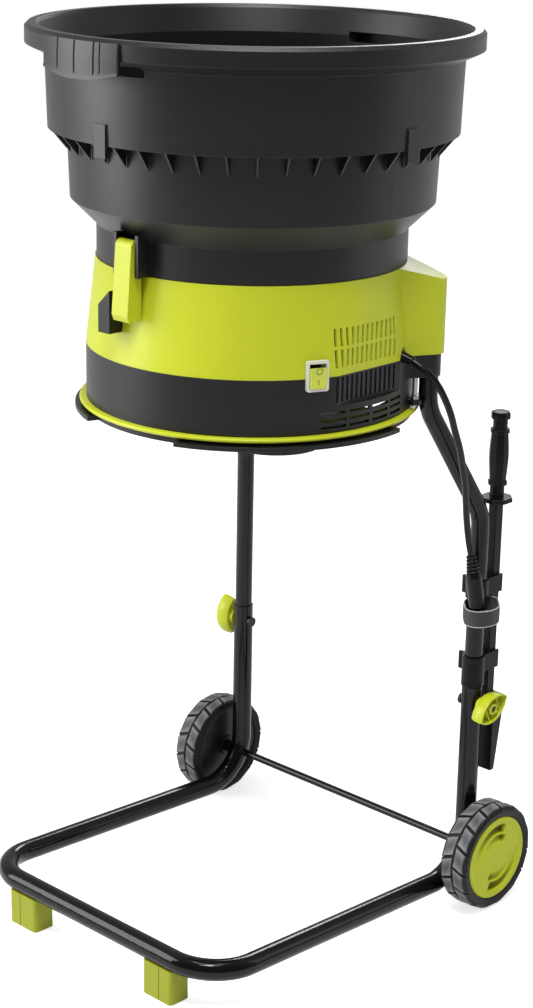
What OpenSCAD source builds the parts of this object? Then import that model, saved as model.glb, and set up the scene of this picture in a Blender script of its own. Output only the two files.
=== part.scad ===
// Electric leaf shredder: hopper over a line-cutter drum, carried by a bent tube cart.
// Millimetres. The origin lies on the floor below the drum axis, Z is up, the feet are at -Y.

/* [Cart] */
// Distance between the centre lines of the two side tubes
track_w = 388; // [382:1:394]
// Drum axis to the centre line of the front bar
front_reach = 246; // [242:1:252]
// Drum axis to the centre line of the uprights
rear_reach = 196; // [192:1:200]
// Outer diameter of the lower frame tube
tube_d = 25; // [24.5:0.1:25.5]
// Wall of the frame tubes
tube_wall = 1.3; // [1.1:0.1:1.5]
// Height of the front bar's centre line
front_bar_z = 51; // [48:1:56]
// Height where the side bars would meet the uprights
rear_corner_z = 28.5; // [26:0.5:31]
// Bend radius of the lower tube
bend_r = 60; // [57:1:63]
// Height of the open upper end of the lower tube
upright_top_z = 277; // [270:1:284]

/* [Upper tubes] */
// Length of the upper tube inside the lower one
tube_overlap = 60; // [50:1:70]
// Height of the lower bend of the upper tube
low_bend_z = 496; // [480:1:510]
// Height of the upper bend of the upper tube
high_bend_z = 638; // [634:1:642]
// Bend radius of the upper tube
upper_bend_r = 60; // [50:1:70]
// Sideways distance of the tube's head from the drum axis
head_x = 176; // [174:0.5:178]
// Rearward distance of the tube's head from the drum axis
head_y = 110; // [108:0.5:112]

/* [Wheels] */
// Diameter over the tread
wheel_d = 133; // [130:1:136]
// Width of the tyre
wheel_w = 40; // [38:1:42]
// Diameter of the axle rod
axle_d = 9.5; // [9:0.1:10]
// Gap between frame tube and wheel
spacer_l = 4.8; // [4:0.1:6]

/* [Drum] */
// Height of the green base ring's underside
drum_z = 636; // [634:0.5:638]
// Height of the base ring
ring_h = 7; // [6.5:0.1:7.5]
// Outer radius of the base ring
ring_r = 197; // [196:0.5:198]
// Height of the black lower housing
lower_h = 61; // [60:0.5:62]
// Outer radius of the black lower housing
lower_r = 189; // [188.5:0.1:189.5]
// Height of the green band
band_h = 100; // [98:0.5:102]
// Outer radius at the top of the green band
band_top_r = 178; // [177.5:0.1:179]
// Distance of the flat vent panel from the drum axis
flat_x = 182; // [181:0.2:183]
// Thickness of the moulded walls
wall = 3; // [2.6:0.1:3.2]

/* [Hopper] */
// Height of the neck above the green band
neck_h = 38; // [36:0.5:40]
// Outer radius of the neck
neck_r = 176.5; // [176:0.1:177]
// Height of the sloped shoulder above the neck
shoulder_h = 29; // [28:0.5:30]
// Outer radius of the funnel above the shoulder
funnel_r = 206; // [205:0.5:207]
// Height of the funnel wall
funnel_h = 78; // [74:1:82]
// Height of the bowl from its ledge to the rim
bowl_h = 112; // [108:1:116]
// Outer radius of the bowl wall
bowl_r = 230; // [229:0.5:231]
// Reach of the rim beyond the bowl wall
rim_reach = 24; // [23:0.5:25]
// Number of fins under the ledge between two snap tabs
fin_n = 11; // [9:1:13]

/* [Motor] */
// Radius of the armature core
core_r = 29.5; // [28:0.5:31]
// Radius of the motor shaft
shaft_r = 5; // [4.5:0.1:5.5]
// Radius of the line head
head_r = 60; // [55:1:65]
// Reach of the cutting lines from the drum axis
line_reach = 155; // [140:1:160]

/* [Clearing tool] */
// Distance of the tool behind the upright
tool_off = 29; // [28.5:0.1:30]
// Side of the square shaft
shaft_w = 12; // [11.5:0.1:12.5]
// Height of the tip's lower end
tool_z = 164; // [150:1:180]

/* [Hidden] */
$fn = 72;

// Overrun of every cut
cut = 1;
// Clearance between pieces that only pass each other
gap = 0.4;
// Radial clearance of a running fit
run = 0.05;
// Clearance of a sliding fit
slip = 0.2;

// Frame tube
half_track = track_w / 2;
slope = atan2(front_bar_z - rear_corner_z, front_reach + rear_reach);
bar_l = sqrt(pow(front_bar_z - rear_corner_z, 2) + pow(front_reach + rear_reach, 2));
rear_turn = 90 + slope;
rear_tangent = bend_r * tan(rear_turn / 2);
rear_arc_y = rear_reach - bend_r;
rear_arc_z = rear_corner_z + rear_tangent;
tube_in = tube_d - 2 * tube_wall;
bend_neck = 0.1;
bend_lap = 1;

// Axle and wheels
axle_z = wheel_d / 2;
axle_r = axle_d / 2;
axle_y = rear_arc_y + sqrt(pow(bend_r, 2) - pow(rear_arc_z - axle_z, 2));
wheel_r = wheel_d / 2;
wheel_x = half_track + tube_d / 2 + spacer_l;
tyre_in_share = 0.79;
tyre_in_r = wheel_r * tyre_in_share;
tyre_side = 2.5;
tread_side = 6;
tread_drop = 5.5;
lug_n = 18;
lug_gap = 7;
lug_deep = 6;
lug_long = 13;
core_wall = 3.5;
core_in = 4;
web_z = 14;
web_t = 4;
hub_r = 14;
hub_in = 2;
rib_n = 8;
rib_t = 3;
cap_t = 3;
cap_drop = 6.5;
cap_rim = 5.5;
cap_rim_h = 5.5;
cap_boss_r = 15;
cap_boss_h = 2;
cap_slot_r = 31;
cap_slot_near = 5;
cap_slot_far = 8;
cap_slot_half = 21;
hub_back = 6;
hub_out = wheel_w - cap_drop - hub_back;
push_r = 9;
push_t = 2;
push_gap = 0.3;
spacer_r = 8;
axle_past = 1.5;
axle_half = wheel_x + hub_out + push_gap + push_t + axle_past;

// Feet
foot_x = 93;
foot_w = 47;
foot_deep = 30;
foot_ahead = 12;
foot_h = 42;
foot_round = 5;
foot_seam = 1.2;
foot_seam_share = 0.57;
foot_screw_r = 2.5;
foot_head_r = 5;
foot_head_h = 4;
foot_bore_z = 20;

// Upper tubes
upper_d = tube_in - 2 * slip;
upper_in = upper_d - 2 * tube_wall;
toe = atan2(half_track - head_x, rear_reach - head_y);
head_s = sqrt(pow(half_track - head_x, 2) + pow(rear_reach - head_y, 2));
lean = atan2(head_s, high_bend_z - low_bend_z);
upper_tangent = upper_bend_r * tan(lean / 2);
lean_l = (high_bend_z - low_bend_z) / cos(lean) - 2 * upper_tangent;
socket_h = 40;

// Clamp bolts and knobs
clamp_drop = 22;
clamp_z = upright_top_z - clamp_drop;
clamp_r = 3;
clamp_head_r = 6.5;
clamp_head_h = 4;
knob_gap = 0.4;
knob_collar_r = 9;
knob_collar_h = 5;
knob_l = 50;
knob_w = 27;
knob_h = 18;
knob_bore_deep = 5;
knob_bore_r = 6;
knob_lens_r = (pow(knob_l / 2, 2) + pow(knob_w / 2, 2)) / knob_w;
knob_lens_off = knob_lens_r - knob_w / 2;
knob_waist = 2.2;
knob_tilt_right = 25;
knob_tilt_left = 90;

// Clips and clearing tool
clip_t = 2.8;
clip_lift = 1;
clip_low_z = upright_top_z + clip_lift;
clip_low_h = 38;
clip_high_z = 391;
clip_high_h = 20;
jaw_h = 22;
jaw_t = 3;
jaw_gap = 0.35;
jaw_past = 8;
tab_l = 9;
tab_t = 4;
tip_l = 98;
tip_w = 26;
tip_top = 20;
tip_end = 7;
guard_d = 36;
guard_h = 5;
grip_d = 24;
grip_l = 105;
shaft_l = 244;
grip_shares = [[0, 0], [0.72, 0], [0.72, 0.14], [0.98, 0.145], [0.98, 0.19], [0.84, 0.195], [1, 0.5],
    [0.86, 0.75], [0.98, 0.755], [0.98, 0.8], [0.72, 0.805], [0.72, 0.915], [0.98, 0.92], [0.98, 0.98],
    [0.9, 1], [0, 1]];

// Drum levels and wings
low_z = drum_z + ring_h;
band_z = low_z + lower_h;
band_top = band_z + band_h;
lip_h = 8;
lip_z = drum_z - lip_h;
lip_r = 202;
lip_t = 5;
lip_half = 40;
collar_in = 170;
flange_t = 3;
flange_in = 168;
wing_r = 16;
wing_dir = -29;
wing_run = 62;
wing_drop = 8;
wing_out = 40;
pod_inset = 3;
pod_h = 27;
flat_low = 25;
flat_end = 50;
slot_n = 13;
slot_pitch = 7.75;
slot_w = 3.4;
slot_first = -54;
slot_deep = 2;
grille_low = 8;
grille_h = 20;
grille_gap = 3.2;
louvre_low = 31;
louvre_h = 28;
row_first = 3;
row_pitch = 7.5;
row_h = 3.4;
row_dirs = [[-22, -12], [-11, -2], [-0.5, 8], [9.4, 17]];
notch_dir = 19;
notch_w = 11.8;
notch_h = 14;
notch_share = 0.55;
notch_deep = 16;
ear_r = 8.5;
ear_h = 5;
ear_lift = 3;
bolt_x = 173.5;
bolt_y = 89;
bolt_r = 3;
bolt_up = 14;
bolt_down = 2.5;
nut_r = 5.75;
nut_h = 5;
base_screw_n = 6;
base_screw_r = 2;
base_screw_at = 181;
base_head_r = 3.6;
base_head_h = 2.2;
base_screw_dir = 15;

// Switch
switch_dir = -24;
switch_up = 3.5;
bezel_w = 26;
bezel_h = 34;
bezel_t = 4.5;
bezel_off = 0.4;
bezel_round = 3;
sleeve_w = 22.6;
sleeve_h = 30;
sleeve_deep = 12;
sleeve_t = 1.4;
switch_body_deep = 8;
rocker_w = 19;
rocker_h = 24.4;
rocker_out = 8.6;
rocker_valley = 7.4;
rocker_in = 4;
rocker_in_h = 12;
rocker_tilt = 8;
rocker_pin_r = 1.5;
rocker_pin_l = 0.9;

// Cord, plug and strap: the route's points are held at their places beside the right upright
cord_d = 8;
cord_sides = 10;
cord_route = [[191, 62, 703], [199, 64, 699], [205, 66, 695], [211, 69, 690], [218, 75, 678],
    [223, 83, 661], [225, 91, 644], [224, 101, 623], [222, 115, 596], [217, 129, 568],
    [213, 139, 547], [208, 148, 526], [203, 158, 498], [201, 166, 471], [202, 171, 451]];
cord_side_ref = [0.6, -0.8, 0];
gland_from = [171, 57, 709];
gland_base_r = 7;
gland_tip_r = 5.2;
plug_end = [210.5, 177, 385];
boot_l = 22;
boot_tip_r = 5.2;
boot_base_r = 7.5;
boot_groove_n = 4;
boot_groove = 1;
plug_r = 9.5;
plug_flange_r = 10;
plug_flange_h = 4;
plug_nose_r = 8;
plug_nose_h = 5;
blade_w = 6.4;
blade_t = 1.5;
blade_l = 16;
blade_half = 5;
pin_r = 2.3;
pin_off = 5.5;
strap_x = 202.3;
strap_y = 194.2;
strap_z = 369.5;
strap_h = 21;
strap_in = 19.7;
strap_run = 15;
strap_turn = -46;
strap_t = 1.8;

// Motor and cutter
bridge_z = low_z + flange_t;
bridge_t = 6;
bridge_in = 168;
bridge_gap = 0.3;
arm_w = 40;
thin_arm_w = 14;
lid_t = 3;
cup_r = 57;
cup_t = 2.5;
cup_shift = 40;
cover_z = 590;
cover_top = lip_z;
bearing_out = 13;
bearing_h = 7;
bearing_low = cover_z + cup_t;
stator_out = 53.8;
stator_drop = 28;
stator_z = bridge_z - stator_drop;
stator_h = 34;
stator_gap = 1.5;
pole_n = 2;
pole_half = 55;
core_up = 2;
core_z = stator_z + core_up;
core_h = 30;
core_slot_n = 12;
core_slot_w = 3;
core_slot_deep = 8;
coil_r = 24;
coil_h = 6;
commutator_r = 13;
commutator_h = 9;
brush_w = 7;
brush_h = 6;
brush_l = 22;
brush_gap = 0.4;
cap_base_r = 62;
dome_r = 50;
dome_top_r = 20;
dome_z = bridge_z + bridge_t;
dome_h = 32;
dome_side = 18;
dome_wall = 2.5;
dome_flange_t = 3;
fan_r = 44;
fan_lift = 4;
fan_z = dome_z + fan_lift;
fan_h = 9;
fan_n = 10;
fan_t = 1.6;
fan_hub_r = 11;
fan_plate_t = 2;
seat_r = bearing_out + cup_t;
high_bearing = dome_z + dome_h - bearing_h - dome_wall;
line_lift = 5;
line_z = dome_z + dome_h + line_lift;
line_disc_t = 5;
line_hub_r = 20;
line_hub_h = 12;
line_boss_n = 4;
line_boss_at = 46;
line_boss_r = 9;
line_r = 1.35;
shaft_lift = 1;
nut_head_r = 11;
nut_head_h = 8;
shaft_low = bearing_low + shaft_lift;

// Hopper
spigot_h = 14;
spigot_gap = 0.3;
neck_z = band_top;
shoulder_z = neck_z + neck_h;
funnel_z = shoulder_z + shoulder_h;
ledge_z = funnel_z + funnel_h;
rim_top = ledge_z + bowl_h;
funnel_draft = 3;
bowl_draft = 2.5;
ledge_t = 3;
ledge_in = 203;
skirt_h = 9;
skirt_t = 2.5;
bowl_lip = 1;
rim_h = 21;
rim_under = 10;
rim_round = 4;
rim_face = 13;
rim_r = bowl_r + rim_reach;
rim_in = rim_r - rim_face;
fin_t = 2;
fin_h = 24;
fin_foot = 1;
fin_off = 0.5;
fin_pitch = 90 / fin_n;
tab_w = 18;
tab_out = 2.5;
tab_up = 22;
tab_down = 14;
hand_half = 15;
hand_low = 8;
hand_h = 12;
grip_half = 13.6;
grip_wide_t = 3.2;
grip_z = 40;
grip_up = 3;
grip_bow = 4.5;
grip_shift = -2.2;
grip_flat = 14;
grip_rise = 11;
grip_groove = 1;
grip_groove_shares = [0.25, 0.49, 0.73, 0.8];
grip_lip_h = 4;
grip_screw_dir = -45;
small_screw_r = 1.8;
small_head_r = 3;
small_head_h = 1.6;
small_screw_l = 7;
small_screw_turn = 2.5;
small_screw_up = 8;

// Latches
pivot_r = 191;
pivot_up = 33;
pivot_z = neck_z + pivot_up;
pivot_pin_r = 2;
lever_w = 25;
lever_top_r = 8;
lever_l = 81;
lever_out_top = 5;
lever_out_low = 13.5;
lever_back = 7;
lever_shell = 3;
lever_toe = 7;
boss_w = 39;
boss_cheek = 5;
boss_low = 1;
boss_h = 46;
boss_out = 19;
catch_w = 18;
catch_up = 1.2;
catch_h = 13;
catch_out = 190;
catch_root = 183.6;
stop_w = 18;
stop_side = 27;
stop_low = 35;
stop_h = 48;
stop_slant = 44;
stop_out = 203;

// Shared shapes
module ring(r_out, r_in, h) {
    difference() {
        cylinder(r = r_out, h = h);
        translate([0, 0, -cut]) cylinder(r = r_in, h = h + 2 * cut);
    }
}

module sector(r_in, r_out, h, from, to) {
    rotate([0, 0, from]) rotate_extrude(angle = to - from) translate([r_in, 0]) square([r_out - r_in, h]);
}

module rounded(w, d, r) {
    union() {
        translate([-w / 2 + r, -d / 2]) square([w - 2 * r, d]);
        translate([-w / 2, -d / 2 + r]) square([w, d - 2 * r]);
        for (x = [-1, 1], y = [-1, 1]) translate([x * (w / 2 - r), y * (d / 2 - r)]) circle(r = r);
    }
}

module both_sides() {
    children();
    mirror([1, 0, 0]) children();
}

module aim(from, to) {
    v = to - from;
    translate(from) rotate([0, acos(v[2] / norm(v)), atan2(v[1], v[0])]) children();
}

// A bend is a little slimmer than the straight tube and reaches into it by a small angle
module bend(r, d, turn) {
    rotate([0, 0, -bend_lap]) rotate_extrude(angle = turn + 2 * bend_lap) translate([r, 0])
        circle(d = d - 2 * bend_neck);
}

// Bent tube frame
module lower_path(d, extra) {
    translate([0, rear_reach, rear_corner_z]) rotate([-slope, 0, 0]) rotate([0, 0, 180]) {
        both_sides() {
            translate([half_track, rear_tangent, 0]) rotate([-90, 0, 0])
                cylinder(d = d, h = bar_l - rear_tangent - bend_r);
            translate([half_track - bend_r, bar_l - bend_r, 0]) bend(bend_r, d, 90);
        }
        translate([bend_r - half_track, bar_l, 0]) rotate([0, 90, 0])
            cylinder(d = d, h = track_w - 2 * bend_r);
    }
    both_sides() {
        translate([half_track, rear_arc_y, rear_arc_z]) rotate([90, 0, 90])
            rotate([0, 0, -rear_turn]) bend(bend_r, d, rear_turn);
        translate([half_track, rear_reach, rear_arc_z])
            cylinder(d = d, h = upright_top_z - rear_arc_z + extra);
    }
}

module lower_frame_tube() {
    color("#1c1c1d") difference() {
        lower_path(tube_d, 0);
        lower_path(tube_in, cut);
        both_sides() {
            translate([half_track - tube_d, axle_y, axle_z]) rotate([0, 90, 0])
                cylinder(r = axle_r + run, h = 2 * tube_d);
            translate([half_track - tube_d, rear_reach, clamp_z]) rotate([0, 90, 0])
                cylinder(r = clamp_r + run, h = 2 * tube_d);
            translate([foot_x + foot_w / 2, -front_reach, front_bar_z - tube_d])
                cylinder(r = foot_screw_r + run, h = tube_d);
        }
    }
}

module upper_path(d, extra) {
    start = upright_top_z - tube_overlap;
    low = low_bend_z - upper_tangent;
    high = high_bend_z + upper_tangent;
    translate([half_track, rear_reach, 0]) rotate([0, 0, -toe]) {
        translate([0, 0, start - extra]) cylinder(d = d, h = low - start + extra);
        translate([0, -upper_bend_r, low]) rotate([90, 0, -90]) rotate([0, 0, 180 - lean])
            bend(upper_bend_r, d, lean);
        translate([0, upper_bend_r * (cos(lean) - 1), low + upper_bend_r * sin(lean)])
            rotate([lean, 0, 0]) cylinder(d = d, h = lean_l);
        translate([0, upper_bend_r - head_s, high]) rotate([90, 0, -90]) rotate([0, 0, -lean])
            bend(upper_bend_r, d, lean);
        translate([0, -head_s, high]) cylinder(d = d, h = band_z + socket_h - high + extra);
    }
}

module upper_tube_right() {
    color("#1c1c1d") difference() {
        upper_path(upper_d, 0);
        upper_path(upper_in, cut);
        translate([half_track - tube_d, rear_reach, clamp_z]) rotate([0, 90, 0])
            cylinder(r = clamp_r + run, h = 2 * tube_d);
    }
}

module upper_tube_left() {
    mirror([1, 0, 0]) upper_tube_right();
}

// Feet under the front bar
module foot_right() {
    color("#b7c62a") difference() {
        translate([foot_x + foot_w / 2, foot_deep / 2 - front_reach - foot_ahead, 0])
            linear_extrude(height = foot_h) rounded(foot_w, foot_deep, foot_round);
        translate([foot_x - cut, -front_reach, front_bar_z]) rotate([0, 90, 0])
            cylinder(d = tube_d, h = foot_w + 2 * cut);
        translate([foot_x + foot_w * foot_seam_share, -front_reach - foot_ahead - cut, -cut])
            cube([foot_seam, foot_seam + cut, foot_h + 2 * cut]);
        translate([foot_x + foot_w / 2, -front_reach, -cut])
            cylinder(r = foot_screw_r + run, h = foot_h + 2 * cut);
        translate([foot_x + foot_w / 2, -front_reach, -cut])
            cylinder(r = foot_head_r + slip, h = foot_bore_z + cut);
    }
}

module foot_left() {
    mirror([1, 0, 0]) foot_right();
}

module foot_screws() {
    color("#b9bbbd") both_sides() translate([foot_x + foot_w / 2, -front_reach, foot_bore_z]) {
        translate([0, 0, -foot_head_h]) cylinder(r = foot_head_r, h = foot_head_h);
        cylinder(r = foot_screw_r, h = front_bar_z - foot_bore_z - tube_in / 4);
    }
}

// Axle and wheels
module at_wheel() {
    translate([wheel_x, axle_y, axle_z]) rotate([0, 90, 0]) children();
}

module axle_rod() {
    color("#b9bbbd") translate([-axle_half, axle_y, axle_z]) rotate([0, 90, 0])
        cylinder(r = axle_r, h = 2 * axle_half);
}

module axle_spacers() {
    color("#1a1a1b") both_sides() translate([half_track + tube_d / 2, axle_y, axle_z]) rotate([0, 90, 0])
        ring(spacer_r, axle_r, spacer_l + hub_in - push_gap);
}

module axle_caps() {
    color("#b9bbbd") both_sides() at_wheel() translate([0, 0, hub_out + push_gap])
        ring(push_r, axle_r, push_t);
}

module tyre_right() {
    color("#161617") at_wheel() difference() {
        rotate_extrude() polygon([[tyre_in_r, tyre_side], [wheel_r - tread_drop, 0],
            [wheel_r, tread_side], [wheel_r, wheel_w - tread_side], [wheel_r - tread_drop, wheel_w],
            [tyre_in_r, wheel_w - tyre_side]]);
        for (k = [0:lug_n - 1]) {
            rotate([0, 0, 360 / lug_n * k]) translate([wheel_r - lug_deep, -lug_gap / 2, -cut])
                cube([lug_deep + cut, lug_gap, lug_long + cut]);
            rotate([0, 0, 360 / lug_n * (k + 1 / 2)])
                translate([wheel_r - lug_deep, -lug_gap / 2, wheel_w - lug_long])
                cube([lug_deep + cut, lug_gap, lug_long + cut]);
        }
    }
}

module tyre_left() {
    mirror([1, 0, 0]) tyre_right();
}

module wheel_core_right() {
    rim_h = wheel_w - cap_drop - core_in;
    color("#19191a") at_wheel() difference() {
        union() {
            translate([0, 0, core_in]) ring(tyre_in_r, tyre_in_r - core_wall, rim_h);
            translate([0, 0, core_in]) cylinder(r = tyre_in_r - core_wall / 2, h = web_t);
            translate([0, 0, hub_in]) cylinder(r = hub_r, h = hub_out - hub_in);
            for (k = [0:rib_n - 1]) rotate([0, 0, 360 / rib_n * k])
                translate([hub_r - rib_t, -rib_t / 2, core_in + rib_t])
                cube([tyre_in_r - core_wall - hub_r + 2 * rib_t - cut, rib_t, web_z - core_in]);
        }
        cylinder(r = axle_r + run, h = wheel_w);
    }
}

module wheel_core_left() {
    mirror([1, 0, 0]) wheel_core_right();
}

module hub_cap_right() {
    cap_r = tyre_in_r - gap;
    color("#b7c62a") at_wheel() translate([0, 0, wheel_w - cap_drop]) difference() {
        union() {
            cylinder(r = cap_r, h = cap_t);
            ring(cap_r, cap_r - cap_rim, cap_rim_h);
            cylinder(r = cap_boss_r, h = cap_t + cap_boss_h);
        }
        for (turn = [0, 180]) rotate([0, 0, turn]) translate([0, 0, -cut]) difference() {
            intersection() {
                translate([cap_slot_near, 0, 0]) cylinder(r = cap_slot_r, h = cap_t + 2 * cut);
                translate([0, -cap_slot_half, -cut])
                    cube([cap_slot_r + cap_slot_near + cut, 2 * cap_slot_half, cap_t + 4 * cut]);
            }
            translate([-cap_slot_far, 0, -cut]) cylinder(r = cap_slot_r, h = cap_t + 4 * cut);
        }
    }
}

module hub_cap_left() {
    mirror([1, 0, 0]) hub_cap_right();
}

// Clamp bolts and their knobs
module knob(tilt) {
    color("#b7c62a") translate([half_track + tube_d / 2 + knob_gap, rear_reach, clamp_z])
        rotate([tilt, 0, 0]) rotate([90, 0, 90]) difference() {
            union() {
                cylinder(r = knob_collar_r, h = knob_collar_h + cut);
                translate([0, 0, knob_collar_h]) intersection() {
                    translate([0, knob_lens_off, 0]) cylinder(r = knob_lens_r, h = knob_h);
                    translate([0, -knob_lens_off, 0]) cylinder(r = knob_lens_r, h = knob_h);
                }
            }
            translate([0, 0, -cut]) cylinder(r = clamp_r + run, h = knob_h + knob_collar_h + 2 * cut);
            translate([0, 0, knob_collar_h + knob_h - knob_bore_deep])
                cylinder(r = knob_bore_r, h = knob_bore_deep + cut);
            translate([0, 0, knob_collar_h + knob_h / 2]) ring(knob_l, knob_l / 2 - knob_waist, knob_waist);
        }
}

module knob_right() {
    knob(knob_tilt_right);
}

module knob_left() {
    mirror([1, 0, 0]) knob(knob_tilt_left);
}

module clamp_bolts() {
    reach = tube_d + knob_gap + knob_collar_h + knob_h - knob_bore_deep + clamp_r;
    color("#b9bbbd") both_sides() translate([half_track - tube_d / 2, rear_reach, clamp_z]) rotate([0, 90, 0]) {
        cylinder(r = clamp_r, h = reach);
        translate([0, 0, -clamp_head_h]) cylinder(r = clamp_head_r, h = clamp_head_h);
    }
}

// Clips on the right upright that hold the clearing tool
module clip(z, collar_h) {
    half = shaft_w / 2 + jaw_gap;
    from = upper_d / 2 + clip_t / 2;
    back = tool_off - half;
    color("#1a1a1b") translate([half_track, rear_reach, z]) difference() {
        union() {
            cylinder(r = upper_d / 2 + clip_t, h = collar_h);
            translate([-half - jaw_t, 0, collar_h - jaw_h])
                cube([2 * (half + jaw_t), tool_off + jaw_past, jaw_h]);
            translate([-from - tab_l, -tab_t / 2, collar_h - jaw_h]) cube([tab_l + cut, tab_t, jaw_h]);
        }
        translate([0, 0, -cut]) cylinder(d = upper_d, h = collar_h + 2 * cut);
        translate([-half, back, -cut]) cube([2 * half, tool_off + jaw_past, collar_h + 2 * cut]);
    }
}

module clip_lower() {
    clip(clip_low_z, clip_low_h);
}

module clip_upper() {
    clip(clip_high_z, clip_high_h + jaw_t);
}

module at_tool() {
    translate([half_track, rear_reach + tool_off, tool_z]) children();
}

module tool_tip() {
    color("#222223") at_tool() translate([-tip_w / 2, 0, 0]) rotate([90, 0, 90])
        linear_extrude(height = tip_w) polygon([[-tip_end / 2, 0], [tip_end / 2, 0], [tip_top / 2, tip_l],
            [-tip_top / 2, tip_l]]);
}

module tool_shaft() {
    color("#222223") at_tool() translate([-shaft_w / 2, -shaft_w / 2, tip_l]) cube([shaft_w, shaft_w, shaft_l]);
}

module tool_grip() {
    color("#222223") at_tool() translate([0, 0, tip_l + shaft_l]) {
        rotate([0, 0, 180 / 8]) cylinder(d = guard_d / cos(180 / 8), h = guard_h, $fn = 8);
        translate([0, 0, guard_h]) rotate_extrude()
            polygon([for (s = grip_shares) [s[0] * grip_d / 2, s[1] * grip_l]]);
    }
}

// Wing outline round the head of a frame tube, drawn smaller by an inset
module wing_outline(inset) {
    r = wing_r - inset;
    t1 = [head_x + r * cos(wing_dir), head_y + r * sin(wing_dir)];
    union() {
        polygon([[head_x / 2, 0], [t1[0] + wing_run * sin(wing_dir), t1[1] - wing_run * cos(wing_dir)], t1,
            [head_x, head_y], [head_x, head_y + r], [head_x / 2, head_y + r]]);
        translate([head_x, head_y]) circle(r = r);
    }
}

module drum_cone(inset) {
    difference() {
        translate([0, 0, band_z]) cylinder(r1 = lower_r - inset, r2 = band_top_r - inset, h = band_h);
        translate([flat_x - inset, -lower_r, band_z - cut]) cube([lower_r, 2 * lower_r, band_h + 2 * cut]);
    }
}

module wing_solid(inset, drop) {
    intersection() {
        translate([0, 0, band_z - cut]) linear_extrude(height = band_h + 2 * cut) wing_outline(inset);
        translate([0, 0, -drop]) rotate_extrude() polygon([[0, band_z], [lower_r + wing_out, band_z],
            [lower_r + wing_out, band_top - 2 * wing_drop], [band_top_r, band_top], [0, band_top]]);
    }
}

module mid_housing() {
    bore = upper_d / 2 + slip;
    color("#b7c62a") difference() {
        union() {
            drum_cone(0);
            both_sides() wing_solid(0, 0);
        }
        difference() {
            translate([0, 0, band_z - cut])
                cylinder(r1 = lower_r - wall, r2 = band_top_r - wall, h = band_h + 2 * cut);
            translate([flat_x - wall, -lower_r, band_z - 2 * cut])
                cube([lower_r, 2 * lower_r, band_h + 4 * cut]);
        }
        both_sides() difference() {
            wing_solid(wall, wall);
            drum_cone(0);
            translate([head_x, head_y, band_z + wall]) cylinder(r = wing_r - wall / 2, h = socket_h);
        }
        both_sides() translate([head_x, head_y, band_z - cut]) cylinder(r = bore, h = socket_h + cut);
        rotate([0, 0, notch_dir]) translate([lower_r - notch_deep / 2, 0, band_z]) rotate([90, 0, 90])
            linear_extrude(height = notch_deep) polygon([[-notch_w, -cut],
                [-notch_w * notch_share, notch_h * notch_share], [0, notch_h],
                [notch_w * notch_share, notch_h * notch_share], [notch_w, -cut]]);
        difference() {
            for (k = [0:slot_n - 1], row = [0, 1])
                translate([flat_x - notch_deep, slot_first + k * slot_pitch,
                    band_z + grille_low + row * (grille_h + grille_gap)])
                    cube([2 * notch_deep, slot_w, grille_h]);
            drum_cone(wall + cut);
        }
        gland_shape();
        switch_hole();
    }
}

module switch_hole() {
    at_switch() translate([-sleeve_deep - lower_r / 8, -sleeve_w / 2 - slip, -sleeve_h / 2 - slip])
        cube([lower_r / 4, sleeve_w + 2 * slip, sleeve_h + 2 * slip]);
}

module lower_housing() {
    bore = upper_d / 2 + slip;
    color("#232324") difference() {
        union() {
            translate([0, 0, low_z]) cylinder(r = lower_r, h = lower_h);
            both_sides() {
                translate([0, 0, band_z - pod_h]) linear_extrude(height = pod_h) wing_outline(pod_inset);
                translate([bolt_x, bolt_y, low_z + ear_lift]) cylinder(r = ear_r, h = ear_h);
            }
        }
        difference() {
            translate([0, 0, low_z + flange_t]) cylinder(r = lower_r - wall, h = lower_h);
            translate([flat_x - wall, -lower_r, low_z + flat_low])
                cube([lower_r, 2 * lower_r, lower_h]);
        }
        translate([0, 0, low_z - cut]) cylinder(r = flange_in, h = lower_h);
        translate([flat_x, -lower_r, low_z + flat_low + wall])
            cube([lower_r, lower_r + flat_end, lower_h]);
        both_sides() {
            translate([head_x, head_y, band_z - pod_h - cut]) cylinder(r = bore, h = pod_h + 2 * cut);
            translate([bolt_x, bolt_y, low_z]) cylinder(r = bolt_r + run, h = lower_h - pod_h + bolt_up);
        }
        for (k = [0:slot_n - 1])
            translate([flat_x - slot_deep, slot_first + k * slot_pitch, low_z + louvre_low])
                cube([slot_deep + cut, slot_w, louvre_h]);
        for (row = [0:2], d = row_dirs) translate([0, 0, low_z + row_first + row * row_pitch])
            sector(lower_r - 2 * wall, lower_r + cut, row_h, d[0], d[1]);
        for (k = [0:base_screw_n - 1]) rotate([0, 0, base_screw_dir + 360 / base_screw_n * k])
            translate([base_screw_at, 0, low_z - cut]) cylinder(r = base_screw_r, h = flange_t + 2 * cut);
        gland_shape();
        switch_hole();
    }
}

// Base ring, bag collar and their fasteners
module base_ring() {
    edge = ring_h / 2;
    color("#b7c62a") difference() {
        translate([0, 0, drum_z]) rotate_extrude() union() {
            translate([flange_in, 0]) square([ring_r - edge - flange_in, ring_h]);
            translate([ring_r - edge, edge]) circle(r = edge);
        }
        for (k = [0:base_screw_n - 1]) rotate([0, 0, base_screw_dir + 360 / base_screw_n * k])
            translate([base_screw_at, 0, drum_z - cut]) cylinder(r = base_screw_r, h = ring_h + 2 * cut);
    }
}

module bag_collar() {
    color("#1a1a1b") difference() {
        translate([0, 0, lip_z]) union() {
            ring(lower_r, collar_in, lip_h);
            for (dir = [-150, -30, 90]) sector(lower_r - wall, lip_r, lip_t, dir - lip_half, dir + lip_half);
        }
        for (k = [0:base_screw_n - 1]) rotate([0, 0, base_screw_dir + 360 / base_screw_n * k])
            translate([base_screw_at, 0, lip_z - cut]) cylinder(r = base_screw_r, h = lip_h + 2 * cut);
    }
}

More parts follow.
